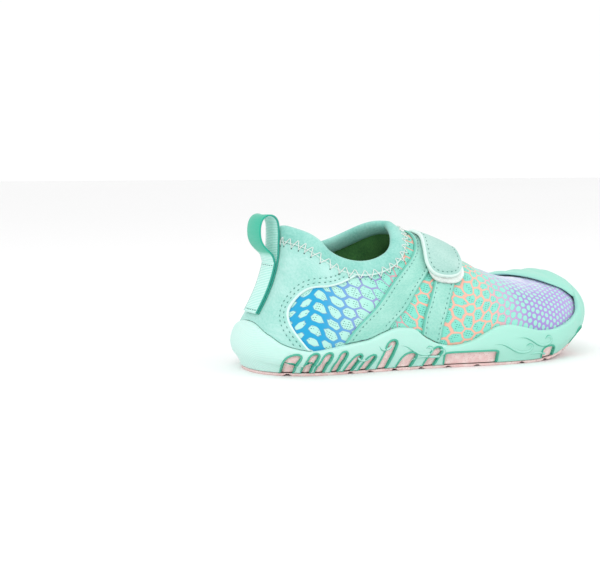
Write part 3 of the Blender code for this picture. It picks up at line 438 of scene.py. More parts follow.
def cupColumns(u, count=61):
    # the cup's outer side at each place, bottom edge first, as a smooth line
    s, medial = sideOf(u)
    edge = cupShare(s, medial)
    thicker = (cup["wall"] - cup["lip"]) * np.clip((s - cup["capFront"]) / 0.03, 0, 1)
    lip = cup["clearance"] + cup["lip"] + thicker
    rows = []
    for share, swell in cup["side"]:
        v = edge * share
        off = lip if swell is None else np.maximum(cup["clearance"] + swell * cup["wall"], lip)
        rows.append(onLast(s, np.where(medial, 2 - v, v), off, creased=False))
    ring = bottomRing(u)
    full = np.column_stack([footCurve(u), 0 * u]) + footNormal(u) * (cup["clearance"] + cup["wall"] * 0.93)
    for mix, height in ((0.22, cup["rimUnderside"] + cup["skirt"]), (1.0, cup["rimUnderside"])):
        rows.append(atHeight(full * (1 - mix) + ring * mix, height))
    rows = np.array(rows)[::-1]
    smooth = spline(np.arange(8), rows.reshape(8, -1))(np.linspace(0, 7, count))
    return smooth.reshape(count, len(u), 3).transpose(1, 0, 2)


def sidePoints(u, height, off=0.0):
    # points on the cup's outer side at heights above the ground line, with the outward direction there
    columns = cupColumns(u)
    out = footNormal(u)
    points = np.empty((len(u), 3))
    lean = np.empty(len(u))
    for i, column in enumerate(columns):
        rise = np.maximum.accumulate(column[:, 2] - ground(column[:, 0])) + np.arange(len(column)) * 1e-9
        for k in range(3):
            points[i, k] = np.interp(height[i], rise, column[:, k])
        j = int(np.clip(np.searchsorted(rise, height[i]), 2, len(rise) - 3))
        step = column[j + 2] - column[j - 2]
        lean[i] = -np.dot(step, out[i]) / max(step[2], 1e-5)
    normal = unit(out + np.column_stack([0 * lean, 0 * lean, lean]))
    return points + normal * np.reshape(off, (-1, 1)), normal


# Mesh making

def meshPiece(name, points, faces, materials, replaced=(), values=None, uvs=None, finish=None):
    # a named mesh that rides on the shoe; seams are welded, and values and maps go to its materials
    points = np.asarray(points, float).reshape(-1, 3)
    keys = np.round(points / 1.5e-5).astype(np.int64)
    found, first, place = np.unique(keys, axis=0, return_index=True, return_inverse=True)
    place = place.ravel().tolist()
    corners, sources, slots = [], [], []
    for number, face in enumerate(faces):
        kept = []
        for corner in face:
            if not kept or place[corner] != place[kept[-1]]:
                kept.append(corner)
        if len(kept) > 1 and place[kept[0]] == place[kept[-1]]:
            kept.pop()
        if len(kept) < 3 or len({place[c] for c in kept}) < len(kept):
            continue
        corners.append([place[c] for c in kept])
        sources += kept
        slots.append(0 if finish is None else int(finish[number]))
    mesh = bpy.data.meshes.new(name)
    mesh.from_pydata(points[first].tolist(), [], corners)
    for key, numbers in (values or {}).items():
        layer = mesh.attributes.new(key, "FLOAT", "POINT")
        layer.data.foreach_set("value", np.asarray(numbers, np.float32).ravel()[first])
    for key, places in (uvs or {}).items():
        layer = mesh.uv_layers.new(name=key)
        layer.data.foreach_set("uv", np.asarray(places, np.float32).reshape(-1, 2)[sources].ravel())
    for material in materials:
        mesh.materials.append(material)
    mesh.polygons.foreach_set("material_index", np.array(slots, np.int32))
    mesh.shade_smooth()
    mesh.update()
    piece = bpy.data.objects.new(name, mesh)
    bpy.context.scene.collection.objects.link(piece)
    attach(piece, "root")
    if replaced:
        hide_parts(*replaced)
    return piece


def gridFaces(columns, rows, start=0, closed=False, flip=False):
    # quads of a grid kept column by column
    i = np.arange(columns if closed else columns - 1)[:, None]
    j = np.arange(rows - 1)[None, :]
    a = i * rows + j
    b = ((i + 1) % columns) * rows + j
    quads = np.stack([a, b, b + 1, a + 1], axis=-1).reshape(-1, 4) + start
    return quads[:, ::-1] if flip else quads


def slabFaces(columns, rows, start=0, flip=False):
    # a front grid, a back grid after it and the strips round their edges
    back = columns * rows
    parts = [gridFaces(columns, rows), gridFaces(columns, rows, back, flip=True)]
    for corner, step, count, turn in (
        (0, rows, columns, False), (rows - 1, rows, columns, True), (0, 1, rows, True),
        (back - rows, 1, rows, False),
    ):
        k = corner + step * np.arange(count)
        quads = np.stack([k[:-1], k[:-1] + back, k[1:] + back, k[1:]], axis=-1)
        parts.append(quads[:, ::-1] if turn else quads)
    faces = np.vstack(parts) + start
    return faces[:, ::-1] if flip else faces


def edgeGap(points, outline):
    # distance in mm from each point to the nearest place on an outline
    flat = points.reshape(-1, 3)
    gap = np.empty(len(flat))
    for i in range(0, len(flat), 2000):
        gap[i:i + 2000] = np.sqrt(((flat[i:i + 2000, None] - outline[None]) ** 2).sum(2)).min(1)
    return gap.reshape(points.shape[:-1]) / mm


def clothMap(points):
    # millimetres along and across a grid
    along = np.linalg.norm(np.diff(points, axis=0), axis=2).mean(1)
    across = np.linalg.norm(np.diff(points, axis=1), axis=2).mean(0)
    x = np.concatenate([[0], np.cumsum(along)]) / mm
    y = np.concatenate([[0], np.cumsum(across)]) / mm
    return np.stack(np.meshgrid(x, y, indexing="ij"), axis=-1)


def overlayPiece(name, grids, outline, inner, thickness, material, replaced, dents=(), soft=0.9):
    # cloth laid on the last: rounded at its free edges and drawn in along its stitch lines
    points, faces, edges, maps = [], [], [], []
    start = 0
    for s, w, flip in grids:
        flat = onLast(s, w, inner)
        gap = edgeGap(flat, outline)
        near = np.clip(gap / soft, 0, 1)
        lift = thickness * (0.40 + 0.60 * np.sqrt(1 - (1 - near)**2))
        for distance in dents:
            lift = lift - 0.28 * mm * np.exp(-((gap - distance) / 0.55)**2)
        points += [onLast(s, w, inner + lift).reshape(-1, 3), flat.reshape(-1, 3)]
        faces.append(slabFaces(*s.shape, start=start, flip=flip))
        edges += [gap.ravel(), 0 * gap.ravel()]
        cloth = clothMap(flat).reshape(-1, 2)
        maps += [cloth, cloth]
        start += 2 * s.size
    return meshPiece(
        name, np.vstack(points), np.vstack(faces), [material], replaced,
        {"edge": np.concatenate(edges)}, {"cloth": np.vstack(maps)})


def tubes(paths, normals, half, rise, sides=6):
    # slim closed tubes along short paths: half wide over the surface, rise high off it
    points, faces = [], []
    angle = np.arange(sides) / sides * 2 * np.pi
    base = 0
    for path, normal, a, b in zip(paths, normals, half, rise):
        side = unit(np.cross(unit(np.gradient(path, axis=0)), normal))
        ring = path[:, None] + side[:, None] * (np.cos(angle)[None, :, None] * a[:, None, None])
        ring = ring + normal[:, None] * (np.sin(angle)[None, :, None] * b[:, None, None])
        count = len(path)
        points.append(ring.reshape(-1, 3))
        i = np.arange(count - 1)[:, None] * sides
        j = np.arange(sides)[None, :]
        quads = np.stack([i + j, i + (j + 1) % sides, i + sides + (j + 1) % sides, i + sides + j], axis=-1)
        faces += (quads.reshape(-1, 4) + base).tolist()
        faces.append([base + k for k in reversed(range(sides))])
        faces.append([base + (count - 1) * sides + k for k in range(sides)])
        base += count * sides
    return np.vstack(points), faces


stitchSink = 0.25 * mm  # how far a lockstitch draws its cloth in


def stitches(s, w, lift, pitch=2.5, dash=1.25, radius=0.17):
    # a lockstitch row along a line on the last: short threads that dip into the cloth at their ends
    length = arcLength(skin(s, w)) / mm
    centres = np.arange(pitch * 0.6, length[-1] - pitch * 0.4, pitch)
    t = np.linspace(-0.5, 0.5, 5)
    places = centres[:, None] + t[None, :] * dash
    stationsHere = np.interp(places, length, s)
    sharesHere = np.interp(places, length, w)
    height = lift + (0.16 - 1.3 * t**2)[None, :] * mm + 0 * places
    paths = onLast(stationsHere, sharesHere, height)
    normals = skinNormal(stationsHere.ravel(), sharesHere.ravel()).reshape(paths.shape)
    thin = np.array([0.45, 0.95, 1.0, 0.95, 0.45]) * radius * mm
    return paths, normals, np.tile(thin, (len(paths), 1))


def threadPiece(name, runs, material):
    paths = [p for run in runs for p in run[0]]
    normals = [n for run in runs for n in run[1]]
    radii = [r for run in runs for r in run[2]]
    points, faces = tubes(paths, normals, radii, radii)
    return meshPiece(name, points, faces, [material])


# Material making

def linear(code):
    # an sRGB hex colour as linear light
    values = [int(code[i:i + 2], 16) / 255 for i in (1, 3, 5)]
    return (*[v / 12.92 if v <= 0.04045 else ((v + 0.055) / 1.055) ** 2.4 for v in values], 1.0)


def addNode(tree, kind, inputs=None, **settings):
    # one node with its settings; an input is a value or the socket that feeds it
    node = tree.nodes.new("ShaderNode" + kind)
    for key, value in settings.items():
        setattr(node, key, value)
    for key, value in (inputs or {}).items():
        if isinstance(value, bpy.types.NodeSocket):
            tree.links.new(value, node.inputs[key])
        else:
            node.inputs[key].default_value = value
    return node


def newMaterial(name, roughness, ior, sheen=0.0, coat=0.0):
    material = bpy.data.materials.new(name)
    material.use_nodes = True
    tree = material.node_tree
    shader = tree.nodes["Principled BSDF"]
    shader.inputs["Roughness"].default_value = roughness
    shader.inputs["IOR"].default_value = ior
    shader.inputs["Sheen Weight"].default_value = sheen
    shader.inputs["Sheen Roughness"].default_value = 0.5
    shader.inputs["Coat Weight"].default_value = coat
    return material, tree, shader


def fillRamp(node, stops):
    # stops are a place and either a hex colour or a plain level
    ramp = node.color_ramp
    while len(ramp.elements) > 1:
        ramp.elements.remove(ramp.elements[-1])
    for number, (position, tone) in enumerate(stops):
        element = ramp.elements[0] if number == 0 else ramp.elements.new(position)
        element.position = position
        element.color = linear(tone) if isinstance(tone, str) else (tone, tone, tone, 1.0)
    return node.outputs[0]


def jerseyCloth(name, light, dark, roughness=0.9, rowPitch=0.75, bump=0.3, turned=None, speckle=0.9):
    # brushed jersey over foam: a matt, slightly furry face in a two-tone melange yarn,
    # with a turned edge in a tone of its own; on the bands that tone is darker, painted shade along the edge
    material, tree, shader = newMaterial(name, roughness, 1.46, sheen=0.3)
    uv = addNode(tree, "UVMap", uv_map="cloth").outputs[0]
    fine = addNode(
        tree, "TexNoise", {"Vector": uv, "Scale": speckle, "Detail": 3.0, "Roughness": 0.7}).outputs[0]
    broad = addNode(tree, "TexNoise", {"Vector": uv, "Scale": 0.07, "Detail": 1.0}).outputs[0]
    both = addNode(tree, "Math", {0: fine, 1: broad}, operation="ADD").outputs[0]
    part = addNode(tree, "Math", {0: both, 1: 0.5}, operation="MULTIPLY").outputs[0]
    colour = fillRamp(addNode(tree, "ValToRGB", {"Fac": part}), ((0.38, dark), (0.60, light)))
    if turned:
        edge = addNode(tree, "Attribute", attribute_name="edge").outputs["Fac"]
        band = addNode(
            tree, "MapRange", {"Value": edge, 1: 0.5, 2: 0.95, 3: 1.0, 4: 0.0},
            interpolation_type="SMOOTHSTEP")
        colour = addNode(
            tree, "Mix", {0: band.outputs[0], 6: colour, 7: linear(turned)}, data_type="RGBA").outputs[2]
    tree.links.new(colour, shader.inputs["Base Color"])
    rows = addNode(
        tree, "TexWave",
        {"Vector": uv, "Scale": math.pi / (10 * rowPitch), "Distortion": 1.2, "Detail": 1.0},
        bands_direction="DIAGONAL").outputs["Fac"]
    fuzz = addNode(tree, "Math", {0: rows, 1: 0.5, 2: fine}, operation="MULTIPLY_ADD").outputs[0]
    relief = addNode(tree, "Bump", {"Height": fuzz, "Strength": bump, "Distance": 0.15 * mm})
    tree.links.new(relief.outputs[0], shader.inputs["Normal"])
    return material


neopreneJersey = jerseyCloth("neoprene_jersey_facing", "#b3e0d8", "#93d1c5", turned="#d9f3ec")
collarJersey = jerseyCloth("collar_brushed_jersey", "#9ad5ca", "#7ac2b5", turned="#cdeee6")
# the bands' darker edge tone: the turned edge with painted shade along it
bandJersey = jerseyCloth("band_matt_jersey", "#a6dbcd", "#88cbbb", rowPitch=0.6, turned="#6fc4b1")
strapLoops = jerseyCloth(
    "strap_brushed_loops", "#b4d8cf", "#94c4b9", roughness=0.95, bump=0.5, turned="#dcefe9", speckle=1.3)
hookTape = jerseyCloth(
    "hook_tape_fuzz", "#f3f6f4", "#cfdcd6", roughness=0.95, rowPitch=0.9, bump=1.0, speckle=1.6)
liningJersey = jerseyCloth("lining_jersey_olive", "#62a85a", "#3f8547", bump=0.3)
insoleCloth = jerseyCloth("insole_jersey_olive", "#58a054", "#3b7d44", rowPitch=0.9, bump=0.4)


def thread(name, code, roughness=0.55):
    # spun polyester thread: a soft gleam on top of each stitch
    material, tree, shader = newMaterial(name, roughness, 1.5, sheen=0.2)
    noise = addNode(tree, "TexNoise", {"Scale": 900.0}).outputs[0]
    level = addNode(tree, "MapRange", {"Value": noise, 3: 0.75, 4: 1.2}).outputs[0]
    tone = addNode(tree, "HueSaturation", {"Color": linear(code), "Value": level}).outputs[0]
    tree.links.new(tone, shader.inputs["Base Color"])
    return material


greenThread = thread("stitch_thread_dark_green", "#0f6f66")
greyThread = thread("zigzag_thread_grey", "#e4e8e4", 0.5)
pinShade = thread("needle_hole_shade", "#54746e", 0.9)
print("last and cloths ready")

# The printed knit of the upper: scales in a net that runs from blue over peach to lilac
upper = {
    "columns": 560,
    "rows": 64,
    "wall": 0.0020,
    # station, pitch of the scales up the foot mm, stretch along it
    "pitch": (
        (0.00, 5.5, 1.40), (0.28, 5.6, 1.40), (0.40, 6.3, 1.15), (0.54, 5.9, 1.10), (0.62, 4.6, 1.05),
        (0.70, 3.7, 1.00), (0.80, 3.0, 1.00), (1.00, 2.5, 1.00),
    ),
    "tilt": 11.0,  # degrees that the rows rise towards the toe
    # station, half the net's width (x pitch)
    "net": (
        (0.06, 0.215), (0.13, 0.175), (0.19, 0.110), (0.25, 0.050), (0.33, 0.040), (0.42, 0.085),
        (0.55, 0.095), (0.66, 0.100), (0.76, 0.150), (0.90, 0.190),
    ),
    # station, how far the scales wander from their rows (x pitch)
    "wander": ((0.06, 0.40), (0.30, 0.50), (0.40, 1.00), (0.60, 0.90), (0.72, 0.50), (0.90, 0.45)),
    "netColours": (
        (0.06, "#139fce"), (0.15, "#18a2d2"), (0.20, "#5aa4d8"), (0.25, "#8f9ddb"), (0.31, "#a78bd0"),
        (0.345, "#e3a3b4"), (0.40, "#f5b5a0"), (0.60, "#f3b69f"), (0.66, "#c5a3cf"), (0.71, "#9d86cb"),
        (0.80, "#a78cd2"), (0.92, "#b6a0da"),
    ),
    "scaleColours": (
        (0.06, "#b5e6dd"), (0.25, "#b2e6da"), (0.32, "#93dfcd"), (0.42, "#7cdac6"), (0.60, "#86dbc9"),
        (0.75, "#9fdccd"), (0.92, "#a6d9d0"),
    ),
    "lineColours": ((0.20, "#7d8fa6"), (0.36, "#5fae9f"), (0.66, "#7f9fae"), (0.74, "#9a90c2")),
    # lilac print blur; its near-white stops are painted highlight
    "mistAndHighlightColours": ((0.30, "#a9a2d6"), (0.46, "#d3cdee"), (0.56, "#ece8f6"), (0.68, "#bfe0da")),
}
pitchCurve = easy(upper["pitch"])
stretchCurve = easy(upper["pitch"], 2)


def printMap(s, w):
    # where a place lies on the printed cloth: scales along the foot and round it from the ridge,
    # and millimetres
    s, w = s.ravel(), w.ravel()
    x = skin(s, w)[:, 0]
    station = np.clip(x / last["length"] + last["heelSeat"], 0, 1)
    fine = np.linspace(0, 1, 401)
    density = 198 / (pitchCurve(fine) * stretchCurve(fine))
    run = np.concatenate([[0], np.cumsum((density[1:] + density[:-1]) / 2 * np.diff(fine))])
    gridS, gridW = np.meshgrid(np.linspace(0, 1, 101), np.linspace(0, 2, 121), indexing="ij")
    ribs = skin(gridS.ravel(), gridW.ravel()).reshape(101, 121, 3)
    length = np.cumsum(np.linalg.norm(np.diff(ribs, axis=1), axis=2), axis=1)
    length = np.concatenate([np.zeros((101, 1)), length], axis=1)
    length = (length - length[:, 60:61]) / mm
    i = np.clip((s * 100).astype(int), 0, 99)
    j = np.clip((w * 60).astype(int), 0, 119)
    a, b = s * 100 - i, w * 60 - j
    arc = length[i, j] * (1 - a) * (1 - b) + length[i + 1, j] * a * (1 - b)
    arc += length[i, j + 1] * (1 - a) * b + length[i + 1, j + 1] * a * b
    scales = np.column_stack([np.interp(station, fine, run), -arc / pitchCurve(station)])
    return scales, np.column_stack([s * 198, -arc]), station


def printedKnit():
    # dye-printed stretch knit: the ink lies in the yarn, so it is matt, with fine ribs and soft ink edges
    material, tree, shader = newMaterial("printed_stretch_knit", 0.78, 1.46, sheen=0.25)
    cells = addNode(tree, "UVMap", uv_map="print").outputs[0]
    cloth = addNode(tree, "UVMap", uv_map="cloth").outputs[0]
    station = addNode(tree, "Attribute", attribute_name="station").outputs["Fac"]
    over = addNode(tree, "Attribute", attribute_name="over").outputs["Fac"]
    # scales that wander from their rows
    drift = addNode(tree, "TexNoise", {"Vector": cells, "Scale": 0.62, "Detail": 1.0}).outputs["Color"]
    centred = addNode(tree, "VectorMath", {0: drift, 1: (0.5, 0.5, 0.5)}, operation="SUBTRACT").outputs[0]
    amount = fillRamp(addNode(tree, "ValToRGB", {"Fac": station}), upper["wander"])
    shift = addNode(tree, "VectorMath", {0: centred, "Scale": amount}, operation="SCALE").outputs[0]
    moved = addNode(tree, "VectorMath", {0: cells, 1: shift}, operation="ADD").outputs[0]
    turned = addNode(
        tree, "VectorRotate", {"Vector": moved, "Angle": -math.radians(upper["tilt"])},
        rotation_type="Z_AXIS").outputs[0]
    flat = addNode(tree, "VectorMath", {0: turned, 1: (1, 1, 0)}, operation="MULTIPLY").outputs[0]
    # nearest centre in a hexagon lattice of pitch 1, flat sides up and down
    half = (math.sqrt(3) / 2, 0.5, 1.0)
    minus = tuple(-h for h in half)
    first = addNode(tree, "VectorMath", {0: flat, 1: half, 2: minus}, operation="WRAP").outputs[0]
    other = addNode(tree, "VectorMath", {0: flat, 1: (math.sqrt(3) / 2, 0.5, 0)}, operation="ADD").outputs[0]
    second = addNode(tree, "VectorMath", {0: other, 1: half, 2: minus}, operation="WRAP").outputs[0]
    toFirst = addNode(tree, "VectorMath", {0: first}, operation="LENGTH").outputs["Value"]
    toSecond = addNode(tree, "VectorMath", {0: second}, operation="LENGTH").outputs["Value"]
    nearer = addNode(tree, "Math", {0: toSecond, 1: toFirst}, operation="LESS_THAN").outputs[0]
    spot = addNode(tree, "Mix", {0: nearer, 4: first, 5: second}, data_type="VECTOR").outputs[1]
    away = addNode(tree, "VectorMath", {0: spot}, operation="ABSOLUTE").outputs[0]
    slant = addNode(
        tree, "VectorMath", {0: away, 1: (math.sqrt(3) / 2, 0.5, 0)},
        operation="DOT_PRODUCT").outputs["Value"]
    level = addNode(tree, "SeparateXYZ", {0: away}).outputs[1]
    hexagon = addNode(tree, "Math", {0: slant, 1: level, 2: 0.10}, operation="SMOOTH_MAX").outputs[0]
    disc = addNode(tree, "Math", {0: toFirst, 1: toSecond}, operation="MINIMUM").outputs[0]
    roundness = addNode(tree, "MapRange", {"Value": station, 1: 0.62, 2: 0.76}).outputs[0]
    shape = addNode(tree, "Mix", {0: roundness, 2: hexagon, 3: disc}).outputs[0]
    ragged = addNode(tree, "TexNoise", {"Vector": cells, "Scale": 3.2, "Detail": 1.0}).outputs[0]
    reach = addNode(tree, "MapRange", {"Value": ragged, 3: 0.45, 4: 0.55}).outputs[0]
    depth = addNode(tree, "Math", {0: reach, 1: shape}, operation="SUBTRACT").outputs[0]
    net = fillRamp(addNode(tree, "ValToRGB", {"Fac": station}), upper["net"])
    inside = addNode(tree, "Math", {0: depth, 1: net}, operation="SUBTRACT").outputs[0]
    scaleMask = addNode(
        tree, "MapRange", {"Value": inside, 1: -0.012, 2: 0.022}, interpolation_type="SMOOTHSTEP").outputs[0]
    # a thin dull line where the two inks overlap
    offLine = addNode(tree, "Math", {0: inside}, operation="ABSOLUTE").outputs[0]
    line = addNode(tree, "MapRange", {"Value": offLine, 1: 0.0, 2: 0.038, 3: 0.55, 4: 0.0}).outputs[0]
    # dashes 0.7 by 0.35 mm in clusters inside the scales, rows 1.05 mm apart
    dashGrid = addNode(
        tree, "VectorMath", {0: cloth, 1: (1 / 1.25, 1 / 1.05, 1)}, operation="MULTIPLY").outputs[0]
    split = addNode(tree, "SeparateXYZ", {0: dashGrid})
    row = addNode(tree, "Math", {0: split.outputs[1]}, operation="FLOOR").outputs[0]
    staggered = addNode(
        tree, "Math", {0: row, 1: 0.37, 2: split.outputs[0]}, operation="MULTIPLY_ADD").outputs[0]
    onX = addNode(tree, "Math", {0: staggered, 1: 0.5}, operation="PINGPONG").outputs[0]
    onY = addNode(tree, "Math", {0: split.outputs[1], 1: 0.5}, operation="PINGPONG").outputs[0]
    dashX = addNode(tree, "MapRange", {"Value": onX, 1: 0.20, 2: 0.24}).outputs[0]
    dashY = addNode(tree, "MapRange", {"Value": onY, 1: 0.32, 2: 0.36}).outputs[0]
    cluster = addNode(tree, "TexNoise", {"Vector": cloth, "Scale": 0.30, "Detail": 0.0}).outputs[0]
    dense = addNode(tree, "MapRange", {"Value": cluster, 1: 0.47, 2: 0.50}).outputs[0]
    within = addNode(tree, "MapRange", {"Value": inside, 1: 0.05, 2: 0.08}).outputs[0]
    ahead = addNode(tree, "MapRange", {"Value": station, 1: 0.66, 2: 0.60, 3: 0.0, 4: 0.8}).outputs[0]
    dashes = addNode(tree, "Math", {0: dashX, 1: dashY}, operation="MULTIPLY").outputs[0]
    for part in (dense, within, ahead):
        dashes = addNode(tree, "Math", {0: dashes, 1: part}, operation="MULTIPLY").outputs[0]
    # the inks, and the lilac blur over the toes, whose near-white parts are painted highlight on the top of
    # the vamp
    netInk = fillRamp(addNode(tree, "ValToRGB", {"Fac": station}), upper["netColours"])
    scaleInk = fillRamp(addNode(tree, "ValToRGB", {"Fac": station}), upper["scaleColours"])
    lineInk = fillRamp(addNode(tree, "ValToRGB", {"Fac": station}), upper["lineColours"])
    cloud = addNode(tree, "TexNoise", {"Vector": cloth, "Scale": 0.16, "Detail": 2.0}).outputs[0]
    mistAndHighlight = fillRamp(addNode(tree, "ValToRGB", {"Fac": cloud}), upper["mistAndHighlightColours"])
    blur = addNode(tree, "Math", {0: over, 1: 0.88}, operation="MULTIPLY").outputs[0]
    colour = addNode(tree, "Mix", {0: scaleMask, 6: netInk, 7: scaleInk}, data_type="RGBA").outputs[2]
    colour = addNode(tree, "Mix", {0: line, 6: colour, 7: lineInk}, data_type="RGBA").outputs[2]
    colour = addNode(tree, "Mix", {0: dashes, 6: colour, 7: linear("#11766c")}, data_type="RGBA").outputs[2]
    colour = addNode(tree, "Mix", {0: blur, 6: colour, 7: mistAndHighlight}, data_type="RGBA").outputs[2]
    tree.links.new(colour, shader.inputs["Base Color"])
    # fine ribs of the knit 0.8 mm apart, and slightly raised ink
    ribs = addNode(
        tree, "TexWave", {"Vector": cloth, "Scale": math.pi / (10 * 0.8), "Distortion": 0.6, "Detail": 1.0},
        bands_direction="Y").outputs["Fac"]
    grain = addNode(tree, "TexNoise", {"Vector": cloth, "Scale": 1.8, "Detail": 2.0}).outputs[0]
    height = addNode(tree, "Math", {0: ribs, 1: 0.5, 2: grain}, operation="MULTIPLY_ADD").outputs[0]
    height = addNode(tree, "Math", {0: scaleMask, 1: 0.9, 2: height}, operation="MULTIPLY_ADD").outputs[0]
    relief = addNode(tree, "Bump", {"Height": height, "Strength": 0.35, "Distance": 0.12 * mm})
    tree.links.new(relief.outputs[0], shader.inputs["Normal"])
    return material


def makeUpper():
    places = evenPlaces(upper["columns"])
    station, medial = sideOf(places)
    v = collarShare(station, medial)[:, None] * np.linspace(0, 1, upper["rows"])[None, :]
    w = np.where(medial[:, None], 2 - v, v)
    s = np.broadcast_to(station[:, None], w.shape).copy()
    columns, rows = s.shape
    back = columns * rows
    i = np.arange(columns)
    j = (i + 1) % columns
    top = rows - 1
    hem = np.stack([i * rows, i * rows + back, j * rows + back, j * rows], axis=-1)
    rim = np.stack([i * rows + top, j * rows + top, j * rows + top + back, i * rows + top + back], axis=-1)
    isOpen = station < last["throat"]
    rim = rim[isOpen | isOpen[j]]
    outer = gridFaces(columns, rows, closed=True)
    inner = gridFaces(columns, rows, back, closed=True, flip=True)
    faces = np.vstack([outer, inner, hem, rim])
    finish = np.concatenate([np.zeros(len(outer), int), np.ones(len(inner) + len(hem) + len(rim), int)])
    scales, cloth, along = printMap(s, w)
    # where the lilac blur and its painted highlight lie: the top of the vamp
    vampMistAndHighlight = np.clip((s - 0.63) / 0.12, 0, 1) * np.clip(1.25 - np.abs(w - 1.06) / 0.40, 0, 1)
    points = np.vstack([onLast(s, w).reshape(-1, 3), onLast(s, w, -upper["wall"]).reshape(-1, 3)])
    meshPiece(
        "knit_upper", points, faces, [printedKnit(), liningJersey], ("upper",),
        {"station": np.tile(along, 2), "over": np.tile(vampMistAndHighlight.ravel(), 2)},
        {"print": np.tile(scales, (2, 1)), "cloth": np.tile(cloth, (2, 1))}, finish)


makeUpper()
print("upper done")

# The padded collar roll, its zigzag and the pin holes at the zigzag's corners
collar = {
    "places": 340,
    "depth": 6.5,  # mm that the roll reaches below the edge
    # depth mm below the edge, stand-off mm: up the outside, over the crown, down the inside and back
    "section": (
        (6.5, 0.40), (6.5, 1.05), (6.1, 1.35), (5.0, 1.55), (3.4, 1.70), (1.8, 1.70), (0.6, 1.50),
        (-0.4, 1.05), (-1.1, 0.35), (-1.45, -0.55), (-1.1, -1.50), (-0.4, -2.25), (0.6, -2.75),
        (2.0, -3.05), (4.0, -3.10), (5.5, -2.95), (6.1, -2.60), (6.1, -2.20), (3.0, -2.20),
        (0.3, -2.20), (0.3, 0.30), (3.0, 0.30), (6.5, 0.40),
    ),
    "zigzagPitch": 4.1,
    "zigzagHigh": 3.6,
    "zigzagLow": 8.0,
    "threadRadius": 0.21,
}


def collarField():
    # places on the last at growing depths below the collar's edge, round it from heel to heel
    steps = np.concatenate([throatSteps[::-1], throatSteps[1:]])
    stations = last["throat"] * (1 - steps**2)
    medial = np.arange(len(steps)) >= len(throatSteps)
    shares = collarShare(stations, medial)
    s, w = resample(stations, np.where(medial, 2 - shares, shares), collar["places"])
    tangent = unit(np.gradient(skin(s, w), axis=0))
    tangent[0] = (0, -1, 0)
    tangent[-1] = (0, -1, 0)
    tangent[0, 1] = np.sign(tangent[1, 1]) or -1
    tangent[-1, 1] = np.sign(tangent[-2, 1]) or -1
    down = -unit(np.cross(skinNormal(s, w), tangent))
    down = np.where((down[:, 2:3] > 0) & (s[:, None] < 0.30), -down, down)
    fieldS, fieldW = [s], [w]
    for _ in range(18):
        nextS, nextW = walk(fieldS[-1], fieldW[-1], down, 0.5 * mm, 1)
        fieldS.append(nextS)
        fieldW.append(nextW)
    return np.array(fieldS).T, np.array(fieldW).T, down


fieldS, fieldW, collarDown = collarField()


def belowCollar(place, depth):
    # a place on the last by its index along the collar and its depth in mm
    depths = np.arange(fieldS.shape[1]) * 0.5
    i = np.clip(place.astype(int), 0, len(fieldS) - 2)
    part = place - i
    s = np.array(
        [np.interp(d, depths, fieldS[k] * (1 - p) + fieldS[k + 1] * p) for k, p, d in zip(i, part, depth)])
    w = np.array(
        [np.interp(d, depths, fieldW[k] * (1 - p) + fieldW[k + 1] * p) for k, p, d in zip(i, part, depth)])
    return s, w


def makeCollar():
    count = collar["places"]
    index = np.arange(count) * 1.0
    columns, edges, heights = [], [], []
    edge = onLast(fieldS[:, 0], fieldW[:, 0])
    normal = skinNormal(fieldS[:, 0], fieldW[:, 0])
    for depth, off in collar["section"]:
        if depth > 0:
            s, w = belowCollar(index, np.full(count, depth))
            columns.append(onLast(s, w, off * mm))
        else:
            columns.append(edge + collarDown * depth * mm + normal * off * mm)
        edges.append(np.full(count, 6.5 - depth if off > 0.9 else 9.0))
        heights.append(np.full(count, depth * (1 if off > -0.55 else -1)))
    points = np.stack(columns, axis=1)
    length = arcLength(edge) / mm
    cloth = np.stack(
        [np.broadcast_to(length[:, None], points.shape[:2]), np.stack(heights, axis=1)], axis=-1)
    meshPiece(
        "collar_roll", points, gridFaces(count, points.shape[1]), [collarJersey],
        ("collar_binding",),
        {"edge": np.stack(edges, axis=1)}, {"cloth": cloth})


def makeZigzag():
    length = arcLength(onLast(fieldS[:, 0], fieldW[:, 0])) / mm
    repeats = round(length[-1] / collar["zigzagPitch"])
    along = np.linspace(0, length[-1], 2 * repeats + 1)
    place = np.interp(along, length, np.arange(len(length)))
    depth = np.where(np.arange(len(place)) % 2 == 0, collar["zigzagHigh"], collar["zigzagLow"])
    t = np.linspace(0, 1, 7)
    paths, normals, radii = [], [], []
    thick = np.array([0.6, 1, 1, 1, 1, 1, 0.6]) * collar["threadRadius"] * mm
    for k in range(len(place) - 1):
        s, w = belowCollar(
            place[k] + (place[k + 1] - place[k]) * t, depth[k] + (depth[k + 1] - depth[k]) * t)
        lift = 1.62 * mm + 0.30 * mm * np.sin(t * math.pi) - 0.25 * mm * (np.abs(2 * t - 1) ** 6)
        paths.append(onLast(s, w, lift))
        normals.append(skinNormal(s, w))
        radii.append(thick)
    threadPiece("collar_zigzag", [(paths, normals, radii)], greyThread)
    s, w = belowCollar(place, depth + np.where(depth > 5, 0.35, -0.35))
    spots = onLast(s, w, 1.50 * mm)
    out = skinNormal(s, w)
    points, faces = [], []
    angle = np.arange(8) / 8 * 2 * np.pi
    for k, (spot, normal) in enumerate(zip(spots, out)):
        side = unit(np.cross(normal, (0.1, 0.2, 1.0)))
        up = np.cross(normal, side)
        ring = spot + 0.42 * mm * (np.cos(angle)[:, None] * side + np.sin(angle)[:, None] * up)
        points += [ring, ring * 0.5 + spot * 0.5 + normal * 0.12 * mm, (spot - normal * 0.3 * mm)[None]]
        base = 17 * k
        for j in range(8):
            n = (j + 1) % 8
            faces += [[base + j, base + n, base + 8 + n, base + 8 + j], [base + n, base + j, base + 16]]
        faces.append([base + 8 + j for j in range(8)])
    meshPiece("zigzag_pin_holes", np.vstack(points), faces, [pinShade])


makeCollar()
makeZigzag()
print("collar done")

